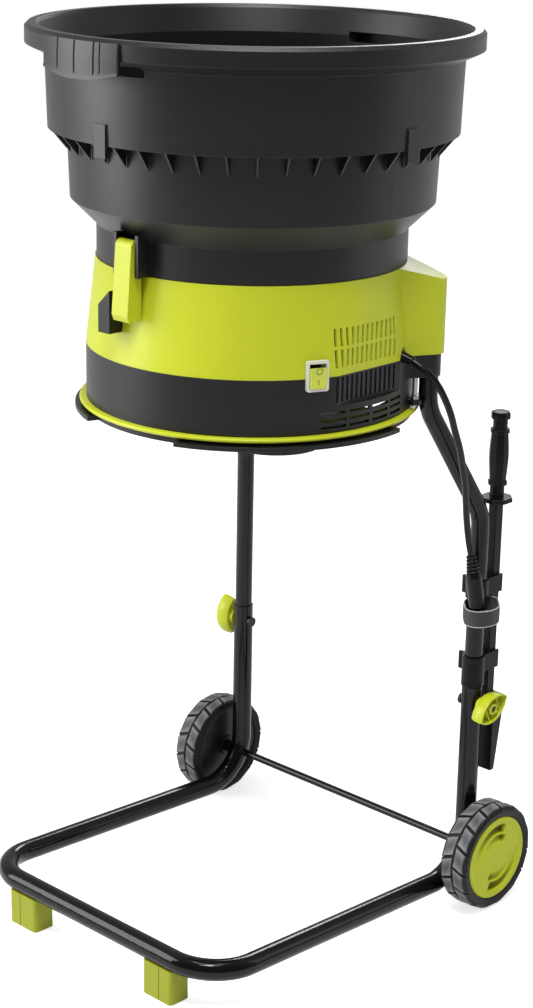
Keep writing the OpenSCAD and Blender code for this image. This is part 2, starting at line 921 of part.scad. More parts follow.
module base_screws() {
    color("#b9bbbd") for (k = [0:base_screw_n - 1]) rotate([0, 0, base_screw_dir + 360 / base_screw_n * k])
        translate([base_screw_at, 0, lip_z]) {
            translate([0, 0, -base_head_h]) cylinder(r = base_head_r, h = base_head_h);
            cylinder(r = base_screw_r, h = lip_h + ring_h + flange_t);
        }
}

module frame_bolts() {
    top = band_z - pod_h + bolt_up;
    color("#c4c6c8") both_sides() translate([bolt_x, bolt_y, low_z + ear_lift - bolt_down])
        cylinder(r = bolt_r, h = top - low_z - ear_lift + bolt_down - cut);
}

module frame_nuts() {
    color("#c4c6c8") both_sides() translate([bolt_x, bolt_y, low_z + ear_lift + ear_h]) difference() {
        cylinder(r = nut_r, h = nut_h, $fn = 6);
        translate([0, 0, -cut]) cylinder(r = bolt_r, h = nut_h + 2 * cut);
    }
}

// Mains switch beside the vent panel
module at_switch() {
    rotate([0, 0, switch_dir]) translate([lower_r, 0, band_z + switch_up]) children();
}

module switch_frame() {
    color("#d9dbd3") at_switch() difference() {
        union() {
            translate([bezel_off, 0, 0]) rotate([90, 0, 90]) linear_extrude(height = bezel_t)
                rounded(bezel_w, bezel_h, bezel_round);
            translate([-sleeve_deep, -sleeve_w / 2, -sleeve_h / 2])
                cube([sleeve_deep + bezel_off + cut, sleeve_w, sleeve_h]);
        }
        translate([-sleeve_deep - cut, sleeve_t - sleeve_w / 2, sleeve_t - sleeve_h / 2])
            cube([sleeve_deep + bezel_off + bezel_t + 2 * cut, sleeve_w - 2 * sleeve_t, sleeve_h - 2 * sleeve_t]);
        translate([0, sleeve_w / 2 + cut, 0]) rotate([90, 0, 0])
            cylinder(r = rocker_pin_r + run, h = sleeve_w + 2 * cut);
    }
}

module switch_body() {
    color("#1a1a1b") at_switch() translate([-sleeve_deep - switch_body_deep, -sleeve_w / 2, -sleeve_h / 2])
        cube([switch_body_deep, sleeve_w, sleeve_h]);
}

module switch_rocker() {
    color("#a9ba24") at_switch() rotate([0, rocker_tilt, 0]) {
        translate([0, rocker_w / 2, 0]) rotate([90, 0, 0]) linear_extrude(height = rocker_w)
            polygon([[-rocker_in, -rocker_in_h / 2], [rocker_out, -rocker_h / 2], [rocker_valley, 0],
                [rocker_out, rocker_h / 2], [-rocker_in, rocker_in_h / 2]]);
        translate([0, rocker_w / 2 + rocker_pin_l, 0]) rotate([90, 0, 0])
            cylinder(r = rocker_pin_r, h = rocker_w + 2 * rocker_pin_l);
    }
}

// Supply cord from the gland to the plug on the right upright
module gland_shape() {
    l = norm(cord_route[0] - gland_from);
    aim(gland_from, cord_route[0]) cylinder(r1 = gland_base_r, r2 = gland_tip_r, h = l);
}

module cord_gland() {
    color("#1a1a1b") gland_shape();
}

function cord_heading(i) = i == 0 ? cord_route[0] - gland_from
    : i == len(cord_route) - 1 ? plug_end - cord_route[i]
    : cord_route[i + 1] - cord_route[i - 1];
function cord_side(i) = cross(cord_heading(i), cord_side_ref) / norm(cross(cord_heading(i), cord_side_ref));
function cord_other(i) = cross(cord_heading(i), cord_side(i)) / norm(cord_heading(i));

module power_cord() {
    n = cord_sides;
    last = len(cord_route) - 1;
    points = [for (i = [0:last], k = [0:n - 1]) cord_route[i]
        + cord_d / 2 * (cos(360 / n * k) * cord_side(i) + sin(360 / n * k) * cord_other(i))];
    sides = [for (i = [0:last - 1], k = [0:n - 1])
        [i * n + k, i * n + (k + 1) % n, (i + 1) * n + (k + 1) % n, (i + 1) * n + k]];
    color("#141415") polyhedron(points = points,
        faces = concat(sides, [[for (k = [0:n - 1]) n - 1 - k], [for (k = [0:n - 1]) last * n + k]]));
}

module at_plug() {
    aim(cord_route[len(cord_route) - 1], plug_end) children();
}

module plug_boot() {
    color("#141415") at_plug() difference() {
        cylinder(r1 = boot_tip_r, r2 = boot_base_r, h = boot_l);
        for (k = [1:boot_groove_n]) translate([0, 0, k * boot_l / (boot_groove_n + 1)])
            ring(plug_flange_r, boot_tip_r, boot_groove);
    }
}

module plug_body() {
    l = norm(plug_end - cord_route[len(cord_route) - 1]) - boot_l;
    color("#141415") at_plug() translate([0, 0, boot_l]) {
        cylinder(r1 = plug_nose_r, r2 = plug_r, h = plug_nose_h);
        translate([0, 0, plug_nose_h]) cylinder(r = plug_r, h = l - plug_nose_h - plug_flange_h);
        translate([0, 0, l - plug_flange_h]) cylinder(r = plug_flange_r, h = plug_flange_h);
    }
}

module plug_blades() {
    color("#c9b26a") at_plug() translate([0, 0, norm(plug_end - cord_route[len(cord_route) - 1])]) {
        for (side = [-1, 1]) translate([-blade_w / 2 - blade_t, side * blade_half - blade_t / 2, 0])
            cube([blade_w, blade_t, blade_l]);
        translate([pin_off, 0, 0]) cylinder(r = pin_r, h = blade_l);
    }
}

module strap_outline(r) {
    union() {
        circle(r = r);
        translate([strap_run, 0]) circle(r = r);
        translate([0, -r]) square([strap_run, 2 * r]);
    }
}

module cord_strap() {
    color("#4a4b4d") translate([strap_x, strap_y, strap_z]) rotate([0, 0, strap_turn])
        linear_extrude(height = strap_h) difference() {
            strap_outline(strap_in + strap_t);
            strap_outline(strap_in);
        }
}

// Motor under the drum
module motor_bridge() {
    low = lip_z;
    arm_drop = bridge_z - low;
    color("#232324") difference() {
        union() {
            translate([0, 0, low]) linear_extrude(height = lid_t) cup_outline(cup_r);
            translate([0, 0, bridge_z]) ring(lower_r - wall - bridge_gap, bridge_in, bridge_t);
            translate([0, -arm_w / 2, low]) cube([bridge_in + bridge_t, arm_w, arm_drop + bridge_t]);
            for (dir = [120, 240]) rotate([0, 0, dir]) translate([0, -thin_arm_w / 2, low])
                cube([bridge_in + bridge_t, thin_arm_w, arm_drop + bridge_t]);
            translate([0, 0, lip_z]) cylinder(r = cup_r, h = dome_z - lip_z);
        }
        translate([0, 0, lip_z - cut]) cylinder(r = stator_out + run, h = dome_z - lip_z + 2 * cut);
        translate([0, 0, low - cut]) ring(lower_r, bridge_in - gap, arm_drop + cut);
        translate([cup_r + cup_t, cup_t - arm_w / 2, low + lid_t])
            cube([bridge_in - cup_r - bridge_t - 2 * cup_t, arm_w - 2 * cup_t, arm_drop + bridge_t]);
    }
}

module cup_outline(r) {
    union() {
        circle(r = r);
        translate([cup_shift, 0]) circle(r = r);
        translate([0, -r]) square([cup_shift, 2 * r]);
    }
}

module motor_cover() {
    color("#1a1a1b") translate([0, 0, cover_z]) difference() {
        linear_extrude(height = cover_top - cover_z) cup_outline(cup_r);
        translate([0, 0, cup_t]) linear_extrude(height = cover_top - cover_z) cup_outline(cup_r - cup_t);
    }
    color("#1a1a1b") translate([0, 0, cover_z + cup_t]) ring(seat_r, bearing_out, bearing_h);
}

module motor_cap() {
    seat = dome_h - dome_wall - bearing_h;
    color("#232324") translate([0, 0, dome_z]) rotate_extrude() polygon([[dome_r - dome_wall, 0], [cap_base_r, 0],
        [cap_base_r, dome_flange_t], [dome_r, dome_flange_t], [dome_r, dome_side], [dome_top_r, dome_h],
        [shaft_r + gap, dome_h], [shaft_r + gap, dome_h - dome_wall], [bearing_out, dome_h - dome_wall],
        [bearing_out, seat], [seat_r, seat - dome_wall], [dome_r - dome_wall, dome_side - dome_wall]]);
}

module stator() {
    inner = core_r + stator_gap;
    yoke = (stator_out - inner) / 3;
    step = 360 / pole_n;
    color("#6f7072") translate([0, 0, stator_z]) difference() {
        ring(stator_out, inner, stator_h);
        for (k = [0:pole_n - 1]) translate([0, 0, -cut])
            sector(inner / 2, stator_out - yoke, stator_h + 2 * cut, step * k + pole_half, step * (k + 1) - pole_half);
    }
}

module armature() {
    color("#8a4b2a") difference() {
        union() {
            translate([0, 0, core_z]) cylinder(r = core_r, h = core_h);
            translate([0, 0, core_z - coil_h]) cylinder(r = coil_r, h = core_h + 2 * coil_h);
            translate([0, 0, core_z - coil_h - commutator_h]) cylinder(r = commutator_r, h = commutator_h);
        }
        translate([0, 0, stator_z - stator_h]) cylinder(r = shaft_r, h = 3 * stator_h);
        for (k = [0:core_slot_n - 1]) rotate([0, 0, 360 / core_slot_n * k])
            translate([core_r - core_slot_deep / 2, -core_slot_w / 2, core_z - cut])
            cube([core_slot_deep, core_slot_w, core_h + 2 * cut]);
    }
}

module motor_shaft() {
    color("#b9bbbd") translate([0, 0, shaft_low])
        cylinder(r = shaft_r, h = line_z + line_hub_h + nut_head_h - shaft_low);
}

module shaft_bearings() {
    color("#b9bbbd") for (z = [bearing_low, high_bearing]) translate([0, 0, z])
        ring(bearing_out, shaft_r + run, bearing_h);
}

module brush_holders() {
    z = core_z - coil_h - commutator_h + (commutator_h - brush_h) / 2;
    color("#b08b3e") for (turn = [90, 270]) rotate([0, 0, turn])
        union() {
            translate([commutator_r + brush_gap, -brush_w / 2, z]) cube([brush_l, brush_w, brush_h]);
            translate([commutator_r + brush_l - brush_w, -brush_w / 2, bearing_low])
                cube([brush_w, brush_w, z - bearing_low + cut]);
        }
}

module cooling_fan() {
    color("#2a2a2b") translate([0, 0, fan_z]) {
        ring(fan_r, shaft_r, fan_plate_t);
        ring(fan_hub_r, shaft_r, fan_h);
        for (k = [0:fan_n - 1]) rotate([0, 0, 360 / fan_n * k]) translate([fan_hub_r - cut, -fan_t / 2, 0])
            cube([fan_r * 3 / 4 - fan_hub_r, fan_t, fan_h * 3 / 4]);
    }
}

// Line cutter on the motor shaft
module line_head() {
    color("#232324") translate([0, 0, line_z]) difference() {
        union() {
            cylinder(r = head_r, h = line_disc_t);
            cylinder(r = line_hub_r, h = line_hub_h);
            for (k = [0:line_boss_n - 1]) rotate([0, 0, 360 / line_boss_n * k])
                translate([line_boss_at, 0, 0]) cylinder(r = line_boss_r, h = line_hub_h);
        }
        translate([0, 0, -cut]) cylinder(r = shaft_r, h = line_hub_h + 2 * cut);
        for (k = [0:line_boss_n - 1]) rotate([0, 0, 360 / line_boss_n * k])
            translate([line_boss_at - 2 * line_boss_r, 0, (line_disc_t + line_hub_h) / 2]) rotate([0, 90, 0])
            cylinder(r = line_r, h = 4 * line_boss_r);
    }
}

module cutting_lines() {
    color("#d8642a") for (k = [0:line_boss_n - 1]) rotate([0, 0, 360 / line_boss_n * k])
        translate([line_boss_at - line_boss_r, 0, line_z + (line_disc_t + line_hub_h) / 2]) rotate([0, 90, 0])
        cylinder(r = line_r, h = line_reach - line_boss_at + line_boss_r);
}

module head_nut() {
    color("#b9bbbd") translate([0, 0, line_z + line_hub_h]) difference() {
        cylinder(r = nut_head_r, h = nut_head_h, $fn = 6);
        translate([0, 0, -cut]) cylinder(r = shaft_r, h = nut_head_h + 2 * cut);
    }
}

// Funnel between band and bowl, with the latch bosses on its neck
module funnel() {
    spigot = band_top_r - wall - spigot_gap;
    color("#29292a") difference() {
        union() {
            rotate_extrude() polygon([[spigot - wall, neck_z - spigot_h], [spigot, neck_z - spigot_h],
                [spigot, neck_z], [neck_r, neck_z], [neck_r, shoulder_z], [funnel_r, funnel_z],
                [funnel_r + funnel_draft, ledge_z], [funnel_r + funnel_draft - wall, ledge_z],
                [funnel_r - wall, funnel_z + wall / 2], [neck_r - wall, shoulder_z + wall / 2],
                [neck_r - wall, neck_z]]);
            for (dir = [-90, 90]) rotate([0, 0, dir]) for (side = [-1, 1])
                translate([neck_r - wall, side * (boss_w - boss_cheek) / 2 - boss_cheek / 2, neck_z + boss_low])
                cube([boss_out + wall, boss_cheek, boss_h]);
        }
        for (dir = [-90, 90]) rotate([0, 0, dir]) translate([pivot_r, boss_w / 2 + cut, pivot_z]) rotate([90, 0, 0])
            cylinder(r = pivot_pin_r, h = boss_w + 2 * cut);
    }
}

module hopper_ring() {
    top_r = bowl_r + bowl_draft;
    rim_low = rim_top - rim_h;
    color("#29292a") {
        difference() {
            union() {
                rotate_extrude() polygon([[ledge_in, ledge_z], [ledge_in, ledge_z + ledge_t],
                    [bowl_r - wall, ledge_z + ledge_t], [top_r - wall, rim_low - rim_under],
                    [rim_in - rim_round / 2, rim_top - rim_round], [rim_in, rim_top], [rim_r - rim_round, rim_top],
                    [rim_r, rim_top - rim_round], [rim_r, rim_low], [rim_r - rim_round, rim_low - rim_round / 2],
                    [top_r, rim_low - rim_under], [bowl_r, ledge_z], [bowl_r, ledge_z - bowl_lip],
                    [bowl_r - wall, ledge_z - bowl_lip], [bowl_r - wall, ledge_z]]);
                translate([0, 0, ledge_z - skirt_h]) ring(funnel_r + funnel_draft - wall - gap,
                    funnel_r + funnel_draft - wall - gap - skirt_t, skirt_h + cut);
                for (turn = [0, 90, 180, 270]) rotate([0, 0, turn])
                    translate([bowl_r - wall / 2, -tab_w / 2, ledge_z - tab_down])
                    cube([wall / 2 + tab_out, tab_w, tab_up + tab_down]);
                for (turn = [0, 90, 180, 270], k = [0:fin_n - 1])
                    rotate([0, 0, turn + (k + 1 / 2) * fin_pitch]) fin();
            }
            for (dir = [-90, 90]) translate([0, 0, rim_low - rim_under - hand_low])
                sector(bowl_r - 2 * wall, bowl_r + 4 * wall, hand_h, dir - hand_half, dir + hand_half);
            hopper_screw_places() translate([-small_screw_l, 0, 0]) rotate([0, 90, 0])
                cylinder(r = small_screw_r, h = 2 * small_screw_l);
        }
    }
}

module fin() {
    inner = funnel_r + funnel_draft + fin_off;
    translate([0, fin_t / 2, ledge_z]) rotate([90, 0, 0]) linear_extrude(height = fin_t)
        polygon([[inner, ledge_t / 2], [bowl_r - wall / 2, ledge_t / 2], [bowl_r - wall / 2, -fin_foot],
            [inner, -fin_h]]);
}

module hopper_screw_places() {
    for (side = [-1, 1]) rotate([0, 0, grip_screw_dir + side * small_screw_turn])
        translate([bowl_r + small_head_h / 4, 0, ledge_z + small_screw_up]) children();
}

module hopper_screws() {
    color("#3a3a3b") hopper_screw_places() rotate([0, 90, 0]) {
        cylinder(r = small_head_r, h = small_head_h);
        translate([0, 0, -small_screw_l]) cylinder(r = small_screw_r, h = small_screw_l + small_head_h / 2);
    }
}

// Grip plates hanging from the rim over the hand slots
module grip_plate() {
    low = rim_top - grip_up - grip_z;
    out = rim_r;
    wide = 2 * grip_half;
    color("#2b2b2c") rotate([0, 0, grip_shift]) difference() {
        rotate([0, 0, -grip_half]) rotate_extrude(angle = wide) polygon([[out, rim_top - grip_up],
            [out, rim_top - rim_h], [out - grip_wide_t / 2, low + grip_lip_h], [out - grip_wide_t / 2, low],
            [rim_r + grip_bow, low], [rim_r + grip_bow, low + grip_lip_h],
            [out + grip_wide_t, rim_top - rim_h], [out + grip_wide_t / 2, rim_top - grip_up]]);
        for (s = grip_groove_shares) rotate([0, 0, wide * s - grip_half])
            translate([out + grip_wide_t - grip_groove, -grip_groove / 2, low + 2 * grip_lip_h])
            cube([grip_wide_t, grip_groove, grip_z]);
        for (hand = [0, 1]) mirror([0, hand, 0]) translate([0, grip_flat, low]) rotate([grip_rise, 0, 0])
            translate([0, 0, -grip_z]) cube([2 * rim_r, 2 * grip_z, grip_z]);
    }
}

module handle_front() {
    rotate([0, 0, -90]) grip_plate();
}

module handle_rear() {
    mirror([0, 1, 0]) handle_front();
}

// Toggle latches on the neck: lever hollow at the back, toe under a catch on the band
module lever() {
    low = pivot_z - lever_l;
    color("#b7c62a") difference() {
        union() {
            translate([pivot_r, lever_w / 2, pivot_z]) rotate([90, 0, 0]) cylinder(r = lever_top_r, h = lever_w);
            translate([pivot_r, lever_w / 2, 0]) rotate([90, 0, 0]) linear_extrude(height = lever_w)
                polygon([[-lever_back, pivot_z], [lever_top_r, pivot_z], [lever_out_low, low + lever_toe],
                    [lever_out_low - lever_shell, low], [-lever_back + lever_shell, low],
                    [-lever_back, low + lever_shell]]);
        }
        translate([pivot_r - lever_back - cut, lever_shell - lever_w / 2, low + lever_toe])
            cube([lever_back + lever_out_top + cut - lever_shell, lever_w - 2 * lever_shell,
                lever_l - lever_toe - lever_top_r - lever_shell]);
        translate([pivot_r, lever_w / 2 + cut, pivot_z]) rotate([90, 0, 0])
            cylinder(r = pivot_pin_r + run, h = lever_w + 2 * cut);
    }
}

module latch_front() {
    rotate([0, 0, -90]) lever();
}

module latch_rear() {
    rotate([0, 0, 90]) lever();
}

module latch_pins() {
    color("#b9bbbd") for (dir = [-90, 90]) rotate([0, 0, dir])
        translate([pivot_r, boss_w / 2, pivot_z]) rotate([90, 0, 0]) cylinder(r = pivot_pin_r, h = boss_w);
}

// Catch behind each lever and the stop block beside it, one moulding on the band
module latch_catches() {
    base = band_z + stop_low;
    nose = pivot_z - lever_l + lever_toe + catch_up;
    color("#1a1a1b") for (dir = [-90, 90]) rotate([0, 0, dir]) difference() {
        union() {
            translate([0, -stop_side - stop_w / 2, base]) cube([stop_out, stop_w, stop_h]);
            translate([0, -stop_side, nose]) cube([catch_root, stop_side + catch_w / 2, catch_h]);
            translate([0, -catch_w / 2, nose]) cube([catch_out, catch_w, catch_h]);
        }
        translate([0, 0, band_z]) cylinder(r1 = lower_r + run, r2 = band_top_r + run, h = band_h);
        translate([0, stop_w / 2 - stop_side, base + stop_h]) rotate([stop_slant, 0, 0])
            translate([0, -2 * stop_w, 0]) cube([stop_out + cut, 2 * stop_w, stop_h]);
    }
}

lower_frame_tube();
upper_tube_left();
upper_tube_right();
foot_left();
foot_right();
foot_screws();
axle_rod();
axle_spacers();
axle_caps();
tyre_left();
tyre_right();
wheel_core_left();
wheel_core_right();
hub_cap_left();
hub_cap_right();
knob_left();
knob_right();
clamp_bolts();
clip_lower();
clip_upper();
tool_grip();
tool_shaft();
tool_tip();
lower_housing();
mid_housing();
base_ring();
bag_collar();
base_screws();
frame_bolts();
frame_nuts();
switch_frame();
switch_body();
switch_rocker();
cord_gland();
power_cord();
plug_boot();
plug_body();
plug_blades();
cord_strap();
motor_bridge();
motor_cover();
motor_cap();
stator();
armature();
motor_shaft();
shaft_bearings();
brush_holders();
cooling_fan();
line_head();
cutting_lines();
head_nut();
funnel();
hopper_ring();
hopper_screws();
handle_front();
handle_rear();
latch_front();
latch_rear();
latch_pins();
latch_catches();
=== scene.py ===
# Leaf shredder on a tube cart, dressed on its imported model.
import math
import bmesh
import bpy
from mathutils import Matrix, Vector


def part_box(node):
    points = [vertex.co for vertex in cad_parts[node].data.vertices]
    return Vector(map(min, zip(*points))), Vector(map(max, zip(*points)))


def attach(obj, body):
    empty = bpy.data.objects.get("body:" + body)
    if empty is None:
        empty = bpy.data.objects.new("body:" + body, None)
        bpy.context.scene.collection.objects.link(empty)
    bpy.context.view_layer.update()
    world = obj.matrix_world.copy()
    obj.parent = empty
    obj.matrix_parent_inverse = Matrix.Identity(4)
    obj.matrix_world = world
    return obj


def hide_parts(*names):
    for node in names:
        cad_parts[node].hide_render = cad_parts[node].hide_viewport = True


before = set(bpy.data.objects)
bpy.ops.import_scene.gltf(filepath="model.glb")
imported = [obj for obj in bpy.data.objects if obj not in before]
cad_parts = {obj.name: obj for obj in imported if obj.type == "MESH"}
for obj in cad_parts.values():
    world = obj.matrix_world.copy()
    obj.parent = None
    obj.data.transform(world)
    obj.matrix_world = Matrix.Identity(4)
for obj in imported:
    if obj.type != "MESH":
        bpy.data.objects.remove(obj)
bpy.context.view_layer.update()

# Camera. It stands at the photograph's place, to the right of the machine's front and a little above the rim,
# solved from points on the rim, the drum, the tubes and the wheels.
azimuth, distance, height = 0.766515908, 2.44009985, 1.28989085
pitch, yaw, roll = 0.311067468, -0.0088774, 0.01894919
focal_pixels, frame_pixels, sensor_mm = 2174.70941, 1008, 36
aim = azimuth + yaw
forward = Vector((-math.sin(aim) * math.cos(pitch), math.cos(aim) * math.cos(pitch), -math.sin(pitch)))
level = forward.cross(Vector((0, 0, 1))).normalized()
upright = level.cross(forward)
across = level * math.cos(roll) + upright * math.sin(roll)
upward = upright * math.cos(roll) - level * math.sin(roll)
lens = bpy.data.cameras.new("photo_camera")
lens.sensor_width = sensor_mm
lens.lens = focal_pixels * sensor_mm / frame_pixels
lens.clip_end = 100
camera = bpy.data.objects.new("photo_camera", lens)
stance = Matrix((across, upward, -forward)).transposed().to_4x4()
stance.translation = (math.sin(azimuth) * distance, -math.cos(azimuth) * distance, height)
camera.matrix_world = stance
bpy.context.scene.collection.objects.link(camera)
bpy.context.scene.camera = camera


# Power cord. A round rubber-sheathed lead, 8 mm across, that leaves the gland in the band's notch, falls in
# front of the upper tube and ends in its moulded plug, which the strap keeps against the upright.
class Value:
    """A socket that carries a number. Sums, products and powers of it add Math nodes to its tree."""

    def __init__(self, tree, socket):
        self.tree, self.socket = tree, socket

    def worked(self, operation, first, second):
        made = self.tree.nodes.new("ShaderNodeMath")
        made.operation = operation
        for socket, value in zip(made.inputs, (first, second)):
            if isinstance(value, Value):
                self.tree.links.new(value.socket, socket)
            else:
                socket.default_value = value
        return Value(self.tree, made.outputs[0])

    def __add__(self, other):
        return self.worked("ADD", self, other)

    def __radd__(self, other):
        return self.worked("ADD", other, self)

    def __sub__(self, other):
        return self.worked("SUBTRACT", self, other)

    def __rsub__(self, other):
        return self.worked("SUBTRACT", other, self)

    def __mul__(self, other):
        return self.worked("MULTIPLY", self, other)

    def __rmul__(self, other):
        return self.worked("MULTIPLY", other, self)

    def __truediv__(self, other):
        return self.worked("DIVIDE", self, other)

    def __rtruediv__(self, other):
        return self.worked("DIVIDE", other, self)

    def __pow__(self, other):
        return self.worked("POWER", self, other)


class Tree:
    """A node tree that is being laid out."""

    def __init__(self, tree):
        self.tree = tree

    def node(self, kind, settings=None, sockets=None, out=0):
        made = self.tree.nodes.new(kind)
        for name, value in (settings or {}).items():
            setattr(made, name, value)
        for name, value in (sockets or {}).items():
            if isinstance(value, Value):
                self.tree.links.new(value.socket, made.inputs[name])
            else:
                made.inputs[name].default_value = value
        return Value(self.tree, made.outputs[out]) if made.outputs else None


class Finish(Tree):
    """A surface finish: one material, laid out from object coordinates to a Principled shader."""

    def __init__(self, name):
        self.material = bpy.data.materials.new(name)
        self.material.use_nodes = True
        super().__init__(self.material.node_tree)
        self.tree.nodes.clear()
        self.place = self.node("ShaderNodeTexCoord", out="Object")

    def noise(self, scale, detail=3.0, roughness=0.5):
        return self.node("ShaderNodeTexNoise", sockets={
            "Vector": self.place, "Scale": scale, "Detail": detail, "Roughness": roughness})

    def ramp(self, value, low, high):
        return self.node("ShaderNodeMapRange", {"clamp": True}, {
            0: value, 1: low, 2: high, 3: 0.0, 4: 1.0})

    def tint(self, share, first, second):
        return self.node("ShaderNodeMix", {"data_type": "RGBA"}, {0: share, 6: first, 7: second}, out=2)

    def axis(self, name, place=None):
        return self.node("ShaderNodeSeparateXYZ", sockets={0: place or self.place}, out=name)

    def wave(self, value):
        return self.node("ShaderNodeMath", {"operation": "SINE"}, {0: value})

    def rounded(self, radius):
        """Normal rounded over the edges."""
        return self.node("ShaderNodeBevel", {"samples": 6}, {"Radius": radius})

    def worn(self, rounded):
        """How near an edge each point is, by how far its rounded normal leans."""
        flat = self.node("ShaderNodeNewGeometry", out="Normal")
        level = self.node("ShaderNodeVectorMath", {"operation": "DOT_PRODUCT"}, {0: rounded, 1: flat},
                          out="Value")
        return self.ramp(1.0 - level, 0.01, 0.22)

    def bump(self, height, depth, normal=None):
        sockets = {"Height": height, "Strength": 1.0, "Distance": depth}
        if normal:
            sockets["Normal"] = normal
        return self.node("ShaderNodeBump", sockets=sockets)

    def surface(self, **sockets):
        shader = self.node("ShaderNodeBsdfPrincipled", sockets={
            name.replace("_", " "): value for name, value in sockets.items()})
        self.node("ShaderNodeOutputMaterial", sockets={"Surface": shader})
        return self.material


def linear(red, green, blue):
    """A colour as a screen shows it, turned to linear light."""
    def one(value):
        value /= 255
        return value / 12.92 if value <= 0.04045 else ((value + 0.055) / 1.055) ** 2.4
    return (one(red), one(green), one(blue), 1.0)


def dress(finish, *nodes):
    """Gives CAD nodes their finish."""
    for node in nodes:
        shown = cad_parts[node]
        if not shown.material_slots:
            shown.data.materials.append(finish)
        for held in shown.material_slots:
            held.material = finish


def sheath():
    skin = Finish("cord_sheath")
    rounded = skin.rounded(0.0006)
    edge = skin.worn(rounded)
    mottle = skin.noise(120.0, 3.0)
    tone = skin.tint(mottle, linear(9, 9, 10), linear(16, 16, 17))
    return skin.surface(Base_Color=skin.tint(edge * 0.3, tone, linear(70, 70, 71)),
                        Roughness=0.2 + 0.12 * mottle, Specular_IOR_Level=0.22,
                        Normal=skin.bump(skin.noise(1500.0), 0.00004, rounded))


def plug_brass():
    plate = Finish("plug_brass")
    bloom = plate.noise(210.0, 4.0)
    colour = plate.tint(bloom, linear(176, 150, 84), linear(214, 190, 124))
    return plate.surface(Base_Color=colour, Metallic=1.0, Roughness=0.22 + 0.16 * bloom,
                         Normal=plate.bump(bloom, 0.00002, plate.rounded(0.0003)))


def shaped(name, points, faces, finish, sharp=35):
    """A mesh from points in millimetres, closed, turned outwards and smoothed up to an angle."""
    mesh = bpy.data.meshes.new(name)
    mesh.from_pydata([[v / 1000 for v in point] for point in points], [], faces)
    shell = bmesh.new()
    shell.from_mesh(mesh)
    bmesh.ops.remove_doubles(shell, verts=shell.verts, dist=1e-6)
    bmesh.ops.recalc_face_normals(shell, faces=shell.faces)
    shell.to_mesh(mesh)
    shell.free()
    mesh.shade_smooth()
    mesh.set_sharp_from_angle(angle=math.radians(sharp))
    mesh.materials.append(finish)
    piece = bpy.data.objects.new(name, mesh)
    bpy.context.scene.collection.objects.link(piece)
    return piece


def settle(piece, body, slot, *nodes):
    """Gives a piece its body, and hides the nodes that it stands for. The slot is not used."""
    if nodes:
        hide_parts(*nodes)
    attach(piece, body)


def ring_faces(rings, turns, start=0):
    """Faces between rings of points that follow one another, with as many points in each."""
    return [[start + i * turns + k, start + i * turns + (k + 1) % turns,
             start + (i + 1) * turns + (k + 1) % turns, start + (i + 1) * turns + k]
            for i in range(rings - 1) for k in range(turns)]


def ribbed_boot():
    """Strain relief of soft rings, turned about the line from the lead's end to the plug."""
    rings, pitch, growth, length, turns = 5, 4.4, 0.46, 22.0, 64
    profile = [(4.4, 0.0), (5.4, 0.0)]
    for k in range(rings):
        low, wide = 0.4 + pitch * k, 5.6 + growth * k
        profile += [(wide, low), (wide + 0.5, low + 0.6), (wide + 0.5, low + 2.2), (wide, low + 2.8),
                    (wide - 1.3, low + 3.1), (wide - 1.3, low + 4.1)]
    profile += [(7.6, length), (6.0, length)]
    base = Vector(route[-1])
    axis = (Vector(plug_end) - base).normalized()
    aside = axis.orthogonal().normalized()
    beside = axis.cross(aside)
    points = []
    for radius, along in profile:
        for k in range(turns):
            turn = 2 * math.pi * k / turns
            points.append(base + axis * along + (aside * math.cos(turn) + beside * math.sin(turn)) * radius)
    faces = ring_faces(len(profile), turns)
    faces += [list(range(turns)), list(range(len(points) - turns, len(points)))]
    return shaped("plug_boot_rings", points, faces, cord_sheath)


route = [(191, 62, 703), (199, 64, 699), (205, 66, 695), (211, 69, 690), (218, 75, 678), (223, 83, 661),
         (225, 91, 644), (224, 101, 623), (222, 115, 596), (217, 129, 568), (213, 139, 547), (208, 148, 526),
         (203, 158, 498), (201, 166, 471), (202, 171, 451)]
plug_end = (210.5, 177, 385)
lead = bpy.data.curves.new("power_lead", "CURVE")
lead.dimensions = "3D"
lead.bevel_depth = 0.004
lead.bevel_resolution = 6
lead.resolution_u = 8
lead.use_fill_caps = True
run = lead.splines.new("BEZIER")
run.bezier_points.add(len(route) - 1)
for point, spot in zip(run.bezier_points, route):
    point.co = [v / 1000 for v in spot]
    point.handle_left_type = point.handle_right_type = "AUTO"
cord_sheath = sheath()
lead.materials.append(cord_sheath)
power_lead = bpy.data.objects.new("power_lead", lead)
bpy.context.scene.collection.objects.link(power_lead)
settle(power_lead, "stand", "cord_rubber", "power_cord")
boot_rings = ribbed_boot()
settle(boot_rings, "stand", "cord_rubber", "plug_boot")
dress(cord_sheath, "cord_gland", "plug_body")
brass = plug_brass()
dress(brass, "plug_blades")


# Lower cart tube and upper tubes. The lower one is a single length of 25 mm steel tube, bent round the front
# bar, the side bars and the uprights. Two 22 mm tubes slide into the uprights and lean in to carry the drum.
# All of it is enamelled in gloss black after bending.
def gloss_enamel():
    coat = Finish("gloss_black_enamel")
    rounded = coat.rounded(0.0008)
    edge = coat.worn(rounded)
    peel = coat.noise(420.0, 2.0)
    cloud = coat.noise(16.0, 3.0)
    rub = coat.ramp(coat.noise(55.0, 5.0, 0.65), 0.6, 0.75)
    colour = coat.tint(cloud, linear(8, 8, 9), linear(14, 14, 15))
    colour = coat.tint(edge * rub * 0.7, colour, linear(88, 86, 84))
    return coat.surface(
        Base_Color=colour, Roughness=0.06 + 0.05 * cloud + 0.08 * rub, Specular_IOR_Level=0.25,
        Coat_Weight=0.05 * cloud, Coat_Roughness=0.06, Normal=coat.bump(peel, 0.00012, rounded))


